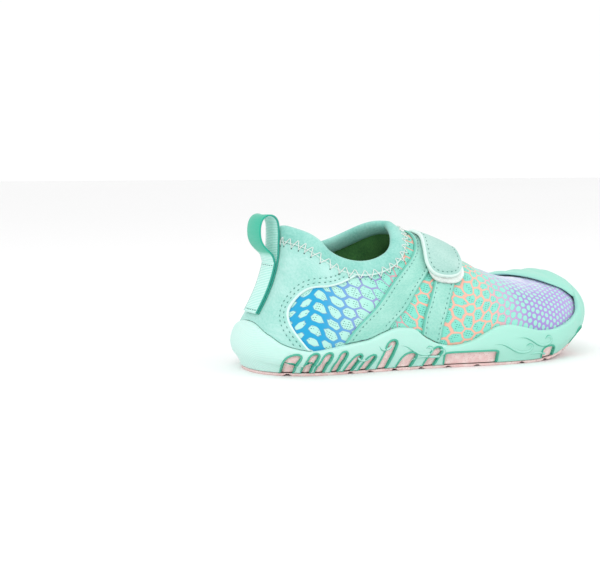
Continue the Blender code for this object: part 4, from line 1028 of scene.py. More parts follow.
# Neoprene heel panel, a horseshoe round a window on each side
heelPanel = {
    "inner": 0.0003,
    "thickness": 0.0012,
    "margin": 0.0060,  # share of the rib left above the cup's lip
    "columns": 190,
    "rows": 34,
    # edge of the window: station, share, from the cup round the rear to the collar
    "window": (
        (0.1320, 0.128), (0.1230, 0.160), (0.1120, 0.204), (0.1000, 0.252), (0.0880, 0.305),
        (0.0770, 0.364),
        (0.0690, 0.420), (0.0650, 0.466), (0.0660, 0.503), (0.0730, 0.524), (0.0850, 0.523),
        (0.1000, 0.503),
        (0.1180, 0.480), (0.1450, 0.458), (0.1750, 0.452), (0.2050, 0.457), (0.2350, 0.473),
        (0.2520, 0.486),
    ),
    "corners": (0.26, 0.50),  # shares of the window's edge that face the heel's foot and its top
    "stitchRows": (2.2, 4.2),
}


def makeHeelPanel():
    grids, outlines, runs = [], [], []
    knots = np.array(heelPanel["window"])
    chord = np.concatenate([[0], np.cumsum(np.hypot(np.diff(knots[:, 0]) * 250, np.diff(knots[:, 1]) * 72))])
    fine = spline(chord, knots)(np.linspace(0, chord[-1], 500))
    below = belowCollar(np.arange(len(fieldS)) * 1.0, np.full(len(fieldS), collar["depth"] + 0.15))
    for medial in (False, True):
        half = slice(len(fieldS) // 2, None) if medial else slice(0, len(fieldS) // 2)
        topS, topV = below[0][half], below[1][half]
        topV = 2 - topV if medial else topV
        order = np.argsort(topS)
        topS, topV = topS[order], topV[order]
        v = np.minimum(fine[:, 1], np.interp(fine[:, 0], topS, topV))
        edgeS, edgeW = resample(fine[:, 0], 2 - v if medial else v, heelPanel["columns"])
        a, b = heelPanel["corners"]
        t = np.linspace(0, 1, heelPanel["columns"])

        def lip(place):
            return cupShare(place, medial) + heelPanel["margin"]

        topEnd = edgeS[-1]
        outS = np.where(t < a, edgeS[0] * (1 - t / a), np.where(t < b, 0.0, topEnd * (t - b) / (1 - b)))
        climb = np.clip((t - a) / (b - a), 0, 1)
        outV = np.where(
            t < a, lip(outS),
            np.where(t < b, lip(0.0) + (topV[0] - lip(0.0)) * climb, np.interp(outS, topS, topV)))
        outW = 2 - outV if medial else outV
        r = np.linspace(0, 1, heelPanel["rows"])[None, :]
        s = edgeS[:, None] * (1 - r) + outS[:, None] * r
        w = edgeW[:, None] * (1 - r) + outW[:, None] * r
        grids.append((s, w, medial))
        outlines.append(onLast(edgeS, edgeW, heelPanel["inner"]))
        for gap in heelPanel["stitchRows"]:
            rowS, rowW = sideways(edgeS, edgeW, (gap if not medial else -gap) * mm)
            keep = np.ones(len(rowS), bool)
            rowV = 2 - rowW if medial else rowW
            keep &= rowV > cupShare(np.abs(rowS), medial) + 0.012
            keep &= rowV < np.interp(rowS, topS, topV) - 0.004
            rowS, rowW = rowS[keep], rowW[keep]
            runs.append(stitches(rowS, rowW, heelPanel["inner"] + heelPanel["thickness"] - stitchSink))
    overlayPiece(
        "heel_panel_neoprene", grids, np.vstack(outlines), heelPanel["inner"], heelPanel["thickness"],
        neopreneJersey, ("heel_panel",), heelPanel["stitchRows"])
    threadPiece("heel_panel_stitches", runs, greenThread)


makeHeelPanel()
print("heel panel done")

# Bands of matt jersey over the quarter: station and share of the rib at the rear edge, at the front edge
bands = {
    "inner": 0.0003,
    "thickness": 0.0011,
    "margin": 0.0060,
    "stitchInset": 0.17,  # share of the band's width
    "saddle": (
        (0.190, 0.050, 0.305, 0.120), (0.235, 0.185, 0.330, 0.215), (0.285, 0.296, 0.367, 0.300),
        (0.328, 0.419, 0.405, 0.419), (0.378, 0.550, 0.440, 0.520), (0.418, 0.663, 0.472, 0.640),
        (0.440, 0.780, 0.495, 0.770), (0.450, 0.890, 0.507, 0.885), (0.453, 1.000, 0.510, 1.000),
    ),
    "frontLateral": (
        (0.402, 0.080, 0.450, 0.040), (0.413, 0.235, 0.462, 0.180), (0.427, 0.320, 0.476, 0.270),
        (0.442, 0.400, 0.492, 0.370), (0.457, 0.480, 0.510, 0.470), (0.468, 0.560, 0.520, 0.560),
        (0.474, 0.620, 0.526, 0.620),
    ),
    "frontMedial": (
        (0.420, 0.080, 0.490, 0.050), (0.428, 0.250, 0.497, 0.220), (0.437, 0.340, 0.505, 0.320),
        (0.448, 0.430, 0.512, 0.420), (0.460, 0.520, 0.521, 0.515), (0.473, 0.610, 0.530, 0.610),
    ),
}


def bandLine(curve, count, share, rows):
    # one line along a band from lip to lip, at a share of its width
    t = np.linspace(0, count - 1, 500)
    table = curve(t)
    s = table[:, 0] + (table[:, 2] - table[:, 0]) * share
    w = table[:, 1] + (table[:, 3] - table[:, 1]) * share
    low = cupShare(s, False) + bands["margin"]
    high = 2 - cupShare(s, True) - bands["margin"]
    free = np.nonzero((w > low) & (w < high))[0]
    return resample(s[free[0]:free[-1] + 1], w[free[0]:free[-1] + 1], rows)


def makeBand(name, table, node, rows, across):
    curve = spline(np.arange(len(table)), table)
    lines = [bandLine(curve, len(table), share, rows) for share in np.linspace(0, 1, across)]
    s = np.array([line[0] for line in lines])
    w = np.array([line[1] for line in lines])
    outline = np.vstack([onLast(s[0], w[0], bands["inner"]), onLast(s[-1], w[-1], bands["inner"])])
    overlayPiece(
        name, [(s, w, False)], outline, bands["inner"], bands["thickness"], bandJersey,
        (node,), (2.0,))
    runs = []
    for share in (bands["stitchInset"], 1 - bands["stitchInset"]):
        line = bandLine(curve, len(table), share, rows)
        runs.append(stitches(*line, bands["inner"] + bands["thickness"] - stitchSink, radius=0.15))
    threadPiece(name + "_stitches", runs, greenThread)


saddle = list(bands["saddle"]) + [(a, 2 - b, c, 2 - d) for a, b, c, d in reversed(bands["saddle"][:-1])]
frontMedial = [(a, 2 - b, c, 2 - d) for a, b, c, d in reversed(bands["frontMedial"])]
makeBand("saddle_band_jersey", saddle, "saddle_band", 230, 26)
makeBand("front_band_outer_side", bands["frontLateral"], "front_band_lateral", 70, 18)
makeBand("front_band_inner_side", frontMedial, "front_band_medial", 70, 18)
print("bands done")

# Hook-and-loop strap and the hook pad that peeks out at its end:
# station at the rear edge, at the front edge, share of the rib
strap = {
    "inner": 0.0029,
    "innerFar": 0.0016,
    "thickness": 0.0018,
    "stitchInset": 2.3,
    "rows": (
        (0.4745, 0.4850, 0.4970), (0.466, 0.494, 0.500), (0.453, 0.509, 0.512), (0.443, 0.524, 0.540),
        (0.438, 0.537, 0.590), (0.441, 0.545, 0.650), (0.447, 0.549, 0.720), (0.454, 0.554, 0.800),
        (0.461, 0.559, 0.900), (0.466, 0.562, 1.000), (0.467, 0.560, 1.100), (0.466, 0.555, 1.200),
        (0.463, 0.546, 1.300), (0.459, 0.538, 1.400), (0.456, 0.530, 1.460),
    ),
    "hookInner": 0.0016,
    "hookThickness": 0.0011,
    "hookRows": (
        (0.4790, 0.4910, 0.4690), (0.468, 0.502, 0.472), (0.456, 0.518, 0.486), (0.448, 0.531, 0.515),
        (0.445, 0.543, 0.560), (0.446, 0.550, 0.620), (0.450, 0.552, 0.680),
    ),
}


def stripGrid(rows, count, across):
    table = spline(np.arange(len(rows)), rows)(np.linspace(0, len(rows) - 1, count))
    share = np.linspace(0, 1, across)[:, None]
    s = table[None, :, 0] + (table[None, :, 1] - table[None, :, 0]) * share
    return s, np.broadcast_to(table[None, :, 2], s.shape).copy()


def stripOutline(s, w):
    # from the far end along one edge, round the free end and back along the other
    lineS = np.concatenate([s[0, ::-1], s[1:-1, 0], s[-1]])
    lineW = np.concatenate([w[0, ::-1], w[1:-1, 0], w[-1]])
    return lineS, lineW


def makeStrap():
    s, w = stripGrid(strap["rows"], 190, 34)
    away = np.clip((w - 0.80) / 0.16, 0, 1)
    inner = strap["inner"] + (strap["innerFar"] - strap["inner"]) * away * away * (3 - 2 * away)
    lineS, lineW = stripOutline(s, w)
    flat = onLast(s, w, inner)
    outline = np.vstack([flat[0], flat[:, 0], flat[-1]])
    gap = edgeGap(flat, outline)
    near = np.clip(gap / 0.9, 0, 1)
    lift = strap["thickness"] * (0.45 + 0.55 * np.sqrt(1 - (1 - near)**2))
    lift = lift - 0.35 * mm * np.exp(-((gap - strap["stitchInset"]) / 0.6)**2)
    lift = lift + 0.25 * mm * np.clip((gap - 3) / 3, 0, 1)
    cloth = clothMap(flat)
    meshPiece(
        "strap_loop_cloth", np.stack([onLast(s, w, inner + lift), flat]), slabFaces(*s.shape),
        [strapLoops],
        ("strap",), {"edge": np.stack([gap, gap])}, {"cloth": np.stack([cloth, cloth])})
    evenS, evenW = resample(lineS, lineW, 420)
    rowS, rowW = sideways(evenS, evenW, strap["stitchInset"] * mm)
    awayRow = np.clip((rowW - 0.80) / 0.16, 0, 1)
    innerRow = strap["inner"] + (strap["innerFar"] - strap["inner"]) * awayRow * awayRow * (3 - 2 * awayRow)
    run = stitches(rowS, rowW, 0.0, radius=0.16)
    mid = np.interp(
        np.arange(len(run[0])) * 2.5 + 1.5, arcLength(skin(rowS, rowW)) / mm,
        innerRow + strap["thickness"] - 0.35 * mm)
    lifted = [path + normal * height for path, normal, height in zip(run[0], run[1], mid)]
    threadPiece("strap_stitches", [(lifted, run[1], run[2])], greenThread)


def makeHookPad():
    s, w = stripGrid(strap["hookRows"], 70, 34)
    wave = 0.0022 * np.sin(np.linspace(0, 1, 34) * 41)[:, None] * np.exp(-np.arange(70) / 5)[None, :]
    w = w - np.abs(wave)
    flat = onLast(s, w, strap["hookInner"])
    outline = np.vstack([flat[0], flat[:, 0], flat[-1]])
    overlayPiece(
        "hook_pad_tape", [(s, w, False)], outline, strap["hookInner"], strap["hookThickness"],
        hookTape,
        ("hook_pad",), soft=0.7)


makeStrap()
makeHookPad()
print("strap done")

# Pull webbing up the heel, round its loop and down over itself
webbing = {
    "width": 0.0145,
    "thickness": 0.0007,
    "standOff": 0.0021,
    "gap": 0.0004,
    "reach": 0.0095,
    "flattening": 0.014,
    "ribPitch": 0.78,
    "ribHeight": 0.10,
    # height (x heel height), stand-off behind the heel (x reach)
    "path": (
        (0.400, 0.00), (0.480, 0.00), (0.560, 0.00), (0.640, 0.00), (0.720, 0.00), (0.800, 0.00),
        (0.880, 0.04), (0.960, 0.06), (1.030, 0.09), (1.075, 0.16), (1.105, 0.33), (1.112, 0.55),
        (1.095, 0.78), (1.050, 0.95), (0.990, 1.00), (0.930, 0.93), (0.885, 0.74), (0.852, 0.51),
        (0.820, 0.29), (0.780, 0.16), (0.730, 0.00), (0.650, 0.00), (0.570, 0.00), (0.490, 0.00),
        (0.405, 0.00),
    ),
}


def ribbedWebbing():
    # woven polyester tape: fine cross ribs with a dull gleam, darker down each edge as a dark selvedge with
    # painted shade along its thick edge
    material, tree, shader = newMaterial("ribbed_polyester_webbing", 0.6, 1.5, sheen=0.25)
    across = addNode(tree, "Attribute", attribute_name="across").outputs["Fac"]
    inside = addNode(tree, "Attribute", attribute_name="inside").outputs["Fac"]
    uv = addNode(tree, "UVMap", uv_map="cloth").outputs[0]
    ribs = addNode(
        tree, "TexWave", {"Vector": uv, "Scale": math.pi / (10 * webbing["ribPitch"]), "Distortion": 0.3},
        bands_direction="Y").outputs["Fac"]
    # the tone follows the ribs: painted shade in their troughs and painted light on their crests
    tone = fillRamp(
        addNode(tree, "ValToRGB", {"Fac": ribs}), ((0.0, "#8fdccc"), (0.6, "#c6efe8"), (1.0, "#d5f4ee")))
    weave = addNode(tree, "TexNoise", {"Vector": uv, "Scale": 2.6, "Detail": 2.0}).outputs[0]
    level = addNode(tree, "MapRange", {"Value": weave, 3: 0.88, 4: 1.1}).outputs[0]
    tone = addNode(tree, "HueSaturation", {"Color": tone, "Value": level}).outputs[0]
    # darker down each edge: a dark selvedge and painted shade along the tape's thick edge
    edge = addNode(tree, "MapRange", {"Value": across, 1: 0.89, 2: 0.93}).outputs[0]
    tone = addNode(tree, "Mix", {0: edge, 6: tone, 7: linear("#189e8b")}, data_type="RGBA").outputs[2]
    # deep teal on the loop's inner face: a more saturated teal with painted shade inside the loop
    tone = addNode(tree, "Mix", {0: inside, 6: tone, 7: linear("#12b394")}, data_type="RGBA").outputs[2]
    tree.links.new(tone, shader.inputs["Base Color"])
    relief = addNode(tree, "Bump", {"Height": ribs, "Strength": 0.5, "Distance": 0.1 * mm})
    tree.links.new(relief.outputs[0], shader.inputs["Normal"])
    return material


def makeWebbing():
    path = np.array(webbing["path"]) * (last["heelHeight"], webbing["reach"])
    chord = arcLength(path)
    heights, offs = spline(chord, path)(np.linspace(0, chord[-1], 760)).T
    offs = np.maximum(offs, 0)
    back = np.arange(760) > np.argmax(offs)
    offs = np.where(back, np.maximum(offs, webbing["thickness"] + webbing["gap"]), offs)
    stations = np.linspace(0, 0.12, 25)
    across = np.linspace(-1, 1, 25)
    levels = np.linspace(heights.min() - 1e-4, heights.max() + 1e-4, 60)
    sections = np.array(
        [onLast(stations, shareAt(stations, z, False), webbing["standOff"], creased=False) for z in levels])
    grid = np.empty((25, 760, 3))
    for column, place in enumerate(across):
        y = place * webbing["width"] / 2
        byLevel = np.array([[np.interp(abs(y), -p[:, 1], p[:, k]) for k in (0, 2)] for p in sections])
        x = np.interp(heights, levels, byLevel[:, 0])
        z = np.interp(heights, levels, byLevel[:, 1])
        centre = np.interp(heights, levels, sections[:, 0, 0])
        bow = (x - centre) * np.clip(1 - offs / webbing["flattening"], 0, 1)
        grid[column] = np.column_stack([centre + bow - offs, np.full(760, y), z])
    along = unit(np.gradient(grid, axis=1))
    normal = unit(np.cross(along, np.gradient(grid, axis=0)))
    length = arcLength(grid[12]) / mm
    selvedge = 0.08 * np.exp(-((np.abs(across) - 0.95) / 0.05)**2)[:, None]
    ribs = webbing["ribHeight"] * np.sin(
        2 * math.pi * length / webbing["ribPitch"])[None, :] * (np.abs(across)[:, None] < 0.9)
    thick = webbing["thickness"] / 2 + (0.5 * ribs + selvedge)[:, :, None] * mm * 0.5
    points = np.stack([grid + normal * thick, grid - normal * thick])
    # mask for the loop's inner face, which is painted deep teal as painted shade inside the loop
    loop = np.clip((offs - 0.25 * webbing["reach"]) / (0.25 * webbing["reach"]), 0, 1)
    outside = np.broadcast_to(loop, (25, 760))
    cloth = np.stack(
        np.broadcast_arrays(across[:, None] * webbing["width"] / 2 / mm, length[None, :]), axis=-1)
    sides = np.broadcast_to(np.abs(across)[:, None], (25, 760))
    meshPiece(
        "pull_loop_webbing", points, slabFaces(25, 760), [ribbedWebbing()], ("pull_webbing",),
        {"across": np.stack([sides, sides]), "inside": np.stack([outside * 0, outside])},
        {"cloth": np.stack([cloth, cloth])})
    # one tacked row across the webbing just under the loop, and one along its lower end
    runs = []
    for z, off in ((0.745 * last["heelHeight"], 1), (0.425 * last["heelHeight"], 1)):
        k = np.nonzero(back)[0][np.argmin(np.abs(heights[back] - z))]
        line = np.linspace(-0.86, 0.86, 7)
        for start in line[:-1]:
            t = start + np.linspace(0.04, 0.20, 5)
            path = np.column_stack([np.interp(t, across, grid[:, k, c]) for c in range(3)])
            out = np.column_stack([np.interp(t, across, normal[:, k, c]) for c in range(3)])
            outward = unit(np.where(out[:, :1] > 0, -out, out))
            runs.append((path + outward * 0.42 * mm, outward, np.array([0.5, 1, 1, 1, 0.5]) * 0.16 * mm))
    threadPiece("webbing_tacking", [tuple(zip(*runs))], greenThread)


makeWebbing()
print("webbing done")

# Insole, and the tread with its flange, grooved bottom and the fingers in the cup's arches
sole = {
    "insoleThickness": 0.0030,
    "insoleInset": 0.0028,
    "treadFlange": 0.0013,
    "treadInset": 0.0004,
    "grooveWidth": 0.0024,
    "grooveDepth": 0.0016,
    # station at the middle, forward sweep at the sides (x length)
    "grooves": (
        (0.085, -0.020), (0.215, 0.020), (0.265, 0.020), (0.330, 0.020), (0.400, 0.020), (0.470, 0.020),
        (0.545, 0.020), (0.690, -0.020), (0.765, -0.020), (0.840, -0.020),
    ),
}


def plateGrid(outset, stations, across):
    # a flat grid between the two sides of the foot line, moved outward
    rings = []
    for u in (stations, 2 - stations):
        foot = np.column_stack([footCurve(u), 0 * u])
        rings.append(foot + footNormal(u) * outset(stations)[:, None])
    share = np.linspace(0, 1, across)[None, :, None]
    return rings[0][:, None] * (1 - share) + rings[1][:, None] * share


def stationsAlong(count):
    # stations that crowd together at the two rounded ends
    return (1 - np.cos(np.linspace(0, math.pi, count))) / 2


def makeInsole():
    stations = stationsAlong(180)
    grid = plateGrid(lambda s: 0 * s - sole["insoleInset"], stations, 60)
    share = np.linspace(-1, 1, 60)[None, :]
    floor = ground(grid[..., 0]) + last["hem"]
    rounding = 1 - 0.6 * np.clip((np.abs(share) - 0.9) / 0.1, 0, 1)**2
    dish = 0.7 * mm * np.abs(
        share)**3 + 0.5 * mm * np.exp(-((grid[..., 0] - 0.055) / 0.02)**2) * np.clip(share, 0, 1)
    top = floor + sole["insoleThickness"] * rounding + dish - 0.35 * mm
    upperSide = np.concatenate([grid[..., :2], top[..., None]], axis=-1)
    underSide = np.concatenate([grid[..., :2], floor[..., None]], axis=-1)
    cloth = grid[..., :2] / mm
    meshPiece(
        "insole_footbed", np.stack([upperSide, underSide]), slabFaces(180, 60),
        [insoleCloth], ("insole",), None, {"cloth": np.stack([cloth, cloth])})


def archOutline(notch, count=46, grow=0.0):
    # an arch in the cup's edge as stations and heights, up one side, over and down the other
    first, end, rise, power, lean = notch
    height = rise * cup["notchHeight"]
    width = (end - first) * last["length"]
    base = height - (min(width / 2, height * 0.45) if power < 4 else cup["notchShoulder"])
    angle = np.linspace(math.pi, 0, 40)
    t = np.sign(np.cos(angle)) * np.abs(np.cos(angle)) ** (2 / power)
    crown = np.abs(np.sin(angle)) ** (2 / power)
    x = np.concatenate([[-1.0], t, [1.0]]) * (width / 2 + grow)
    level = np.concatenate([[0.0], base + (height - base) * crown + grow * crown, [0.0]])
    length = np.concatenate([[0], np.cumsum(np.hypot(np.diff(x), np.diff(level)))])
    even = np.linspace(0, length[-1], count)
    x, level = np.interp(even, length, x), np.interp(even, length, level)
    return (first + end) / 2 + (x + lean * level) / last["length"], level


def archDepth(s, level, notch):
    # how far a place is inside an arch, in mm
    first, end, rise, power, lean = notch
    height = rise * cup["notchHeight"]
    width = (end - first) * last["length"]
    t = np.abs((s - (first + end) / 2) * last["length"] - lean * level) / (width / 2)
    base = height - (min(width / 2, height * 0.45) if power < 4 else cup["notchShoulder"])
    top = base + (height - base) * (1 - np.clip(t, 0, 1) ** power) ** (1 / power)
    return np.minimum(top - level, (1 - t) * width / 2) / mm


def treadRubber():
    # matt moulded rubber with a mixed-in speckle: pale pink with darker flecks, rosier towards the edge of
    # each patch in the arches
    material, tree, shader = newMaterial("speckled_tread_rubber", 0.62, 1.52)
    place = addNode(tree, "TexCoord").outputs["Object"]
    flecks = addNode(
        tree, "TexVoronoi", {"Vector": place, "Scale": 1100.0}, feature="F1").outputs["Distance"]
    speck = addNode(tree, "MapRange", {"Value": flecks, 1: 0.22, 2: 0.30, 3: 1.0, 4: 0.0}).outputs[0]
    noise = addNode(tree, "TexNoise", {"Vector": place, "Scale": 260.0, "Detail": 2.0}).outputs[0]
    base = fillRamp(addNode(tree, "ValToRGB", {"Fac": noise}), ((0.35, "#e8c3c1"), (0.65, "#f3dbd8")))
    shown = addNode(tree, "Math", {0: speck, 1: noise}, operation="MULTIPLY").outputs[0]
    tone = addNode(tree, "Mix", {0: shown, 6: base, 7: linear("#c98b8c")}, data_type="RGBA").outputs[2]
    edge = addNode(tree, "Attribute", attribute_name="rose").outputs["Fac"]
    tone = addNode(tree, "Mix", {0: edge, 6: tone, 7: linear("#e0907f")}, data_type="RGBA").outputs[2]
    tree.links.new(tone, shader.inputs["Base Color"])
    relief = addNode(tree, "Bump", {"Height": noise, "Strength": 0.25, "Distance": 0.1 * mm})
    tree.links.new(relief.outputs[0], shader.inputs["Normal"])
    return material


def makeTread():
    stations = stationsAlong(330)
    across = 90
    grid = plateGrid(lambda s: cupOutset(s) * cup["wall"] - sole["treadInset"], stations, across)
    x, y = grid[..., 0], grid[..., 1]
    reach = last["ballWidth"] * 0.8
    cutDepth = np.zeros(x.shape)
    for station, sweep in sole["grooves"]:
        middle = (station - last["heelSeat"]) * last["length"] + np.abs(y) / reach * sweep * last["length"]
        gap = np.abs(x - middle) - sole["grooveWidth"] / 2
        cutDepth = np.maximum(cutDepth, sole["grooveDepth"] * np.clip(0.5 - gap / (0.8 * mm), 0, 1))
    cutDepth = np.minimum(cutDepth, sole["treadFlange"] * 0.75)
    under = np.concatenate([grid[..., :2], (ground(x) + cutDepth)[..., None]], axis=-1)
    top = np.concatenate([grid[..., :2], (ground(x) + sole["treadFlange"])[..., None]], axis=-1)
    points = [top.reshape(-1, 3), under.reshape(-1, 3)]
    faces = [slabFaces(330, across)]
    rose = [np.zeros(2 * top[..., 0].size)]
    start = 2 * top[..., 0].size
    for medial, notches in ((False, cup["notchesLateral"]), (True, cup["notchesMedial"])):
        for notch in notches:
            # a speckled patch that bulges inside its arch
            first, end, rise, power, lean = notch
            columns, rows = (60, 12) if power > 4 else (18, 16)
            angle = np.linspace(-1, 1, columns)
            t = np.sin(angle * math.pi / 2) if power < 4 else angle
            height = rise * cup["notchHeight"]
            width = (end - first) * last["length"]
            base = height - (min(width / 2, height * 0.45) if power < 4 else cup["notchShoulder"])
            top1 = base + (height - base) * np.clip(1 - np.abs(t) ** power, 0, 1) ** (1 / power)
            level = top1[:, None] * np.linspace(0.06, 1, rows)[None, :]
            s = (first + end) / 2 + (t[:, None] * width / 2 + lean * level) / last["length"]
            inside = archDepth(s, level, notch)
            off = (-1.25 + 0.55 * np.clip(inside / 1.6, 0, 1) ** 0.7) * mm
            u = 2 - s if medial else s
            front, normal = sidePoints(u.ravel(), level.ravel(), off.ravel())
            rear = front - normal * 0.9 * mm
            points += [front, rear]
            faces.append(slabFaces(columns, rows, start=start, flip=medial))
            # rosier within a fraction of a millimetre of the arch's edge, where the patch dips back
            blush = np.exp(-np.clip(inside, 0, None) / 0.35).ravel() * 0.6
            rose += [blush, blush]
            start += 2 * level.size
    meshPiece(
        "tread_rubber_sole", np.vstack(points), np.vstack(faces), [treadRubber()],
        ("tread",),
        {"rose": np.concatenate(rose)})


makeInsole()
makeTread()
print("insole and tread done")

# Raised lines on the cup's side: station and height mm of points along each wave, ending in its curl
waves = {
    "width": 0.65,
    "rise": 0.45,
    "lateral": (
        (
            (0.345, 12.5), (0.362, 11.6), (0.380, 9.4), (0.398, 7.6), (0.414, 7.2), (0.426, 8.2),
            (0.428, 9.8), (0.420, 10.8), (0.411, 10.2),
        ),
        (
            (0.375, 4.6), (0.392, 5.9), (0.415, 6.2), (0.440, 5.9), (0.456, 6.8), (0.460, 8.4),
            (0.454, 9.4), (0.446, 8.9),
        ),
        (
            (0.590, 10.6), (0.612, 10.4), (0.634, 8.4), (0.655, 6.3), (0.676, 5.8), (0.690, 7.0),
            (0.692, 8.8), (0.682, 9.6), (0.674, 8.9),
        ),
        (
            (0.650, 13.2), (0.672, 13.2), (0.694, 11.2), (0.716, 8.8), (0.736, 8.6), (0.748, 10.2),
            (0.745, 12.0), (0.735, 12.4), (0.729, 11.5),
        ),
        ((0.690, 4.2), (0.706, 5.0), (0.724, 4.6), (0.742, 3.4)),
        ((0.236, 8.6), (0.242, 7.0), (0.253, 6.2), (0.264, 6.8), (0.270, 8.2)),
        ((0.290, 12.6), (0.297, 11.2), (0.307, 10.8), (0.317, 11.6), (0.322, 12.8)),
    ),
    "medial": (
        (
            (0.300, 9.5), (0.320, 9.2), (0.342, 7.4), (0.360, 6.6), (0.376, 7.6), (0.378, 9.4),
            (0.368, 10.0), (0.361, 9.3),
        ),
        (
            (0.560, 11.0), (0.590, 10.6), (0.615, 8.2), (0.640, 6.6), (0.660, 7.4), (0.664, 9.2),
            (0.654, 10.2), (0.645, 9.5),
        ),
        (
            (0.650, 14.0), (0.680, 13.6), (0.705, 11.0), (0.730, 9.4), (0.750, 10.6),
            (0.750, 12.6), (0.740, 13.3), (0.732, 12.5),
        ),
    ),
}


def cupRubber():
    # soft thermoplastic rubber: satin, slightly waxy, with fine moulded ribs round the heel
    material, tree, shader = newMaterial("satin_moulded_cup_rubber", 0.5, 1.52)
    shader.inputs["Subsurface Weight"].default_value = 0.12
    shader.inputs["Subsurface Radius"].default_value = (0.6, 1.0, 0.9)
    shader.inputs["Subsurface Scale"].default_value = 0.0015
    station = addNode(tree, "Attribute", attribute_name="station").outputs["Fac"]
    rimTealAndShade = addNode(tree, "Attribute", attribute_name="rimTealAndShade").outputs["Fac"]
    uv = addNode(tree, "UVMap", uv_map="side").outputs[0]
    # lighter towards the heel: partly the rubber's own tone, partly painted light falling on the heel
    tone = fillRamp(
        addNode(tree, "ValToRGB", {"Fac": station}),
        ((0.00, "#cdeee7"), (0.14, "#c3eae0"), (0.35, "#b4e3d7"),
         (0.60, "#a6dfcf"), (0.90, "#98d6c5"), (1.00, "#93d2c1")))
    cloud = addNode(tree, "TexNoise", {"Vector": uv, "Scale": 0.05, "Detail": 2.0}).outputs[0]
    level = addNode(tree, "MapRange", {"Value": cloud, 3: 0.95, 4: 1.05}).outputs[0]
    tone = addNode(tree, "HueSaturation", {"Color": tone, "Value": level}).outputs[0]
    # ribs 0.9 mm apart, leaning back
    turned = addNode(
        tree, "VectorRotate", {"Vector": uv, "Angle": math.radians(52)}, rotation_type="Z_AXIS").outputs[0]
    ribs = addNode(
        tree, "TexWave", {"Vector": turned, "Scale": math.pi / (10 * 0.9)},
        bands_direction="X").outputs["Fac"]
    ribbed = addNode(
        tree, "MapRange", {"Value": station, 1: 0.50, 2: 0.20}, interpolation_type="SMOOTHSTEP").outputs[0]
    shown = addNode(tree, "Math", {0: ribs, 1: ribbed}, operation="MULTIPLY").outputs[0]
    shade = addNode(tree, "Math", {0: shown, 1: 0.22}, operation="MULTIPLY").outputs[0]
    tone = addNode(tree, "Mix", {0: shade, 6: tone, 7: linear("#8fd6c4")}, data_type="RGBA").outputs[2]
    # dark teal: the arch rims' own colour, painted shade in the arch recesses and painted shadow on the wave
    # lines' lower sides
    tone = addNode(tree, "Mix", {0: rimTealAndShade, 6: tone, 7: linear("#12a587")}, data_type="RGBA").outputs[2]
    tree.links.new(tone, shader.inputs["Base Color"])
    grain = addNode(tree, "TexNoise", {"Vector": uv, "Scale": 2.2, "Detail": 2.0}).outputs[0]
    height = addNode(tree, "Math", {0: grain, 1: 0.25, 2: shown}, operation="MULTIPLY_ADD").outputs[0]
    relief = addNode(tree, "Bump", {"Height": height, "Strength": 0.3, "Distance": 0.15 * mm})
    tree.links.new(relief.outputs[0], shader.inputs["Normal"])
    return material


cupMaterial = cupRubber()


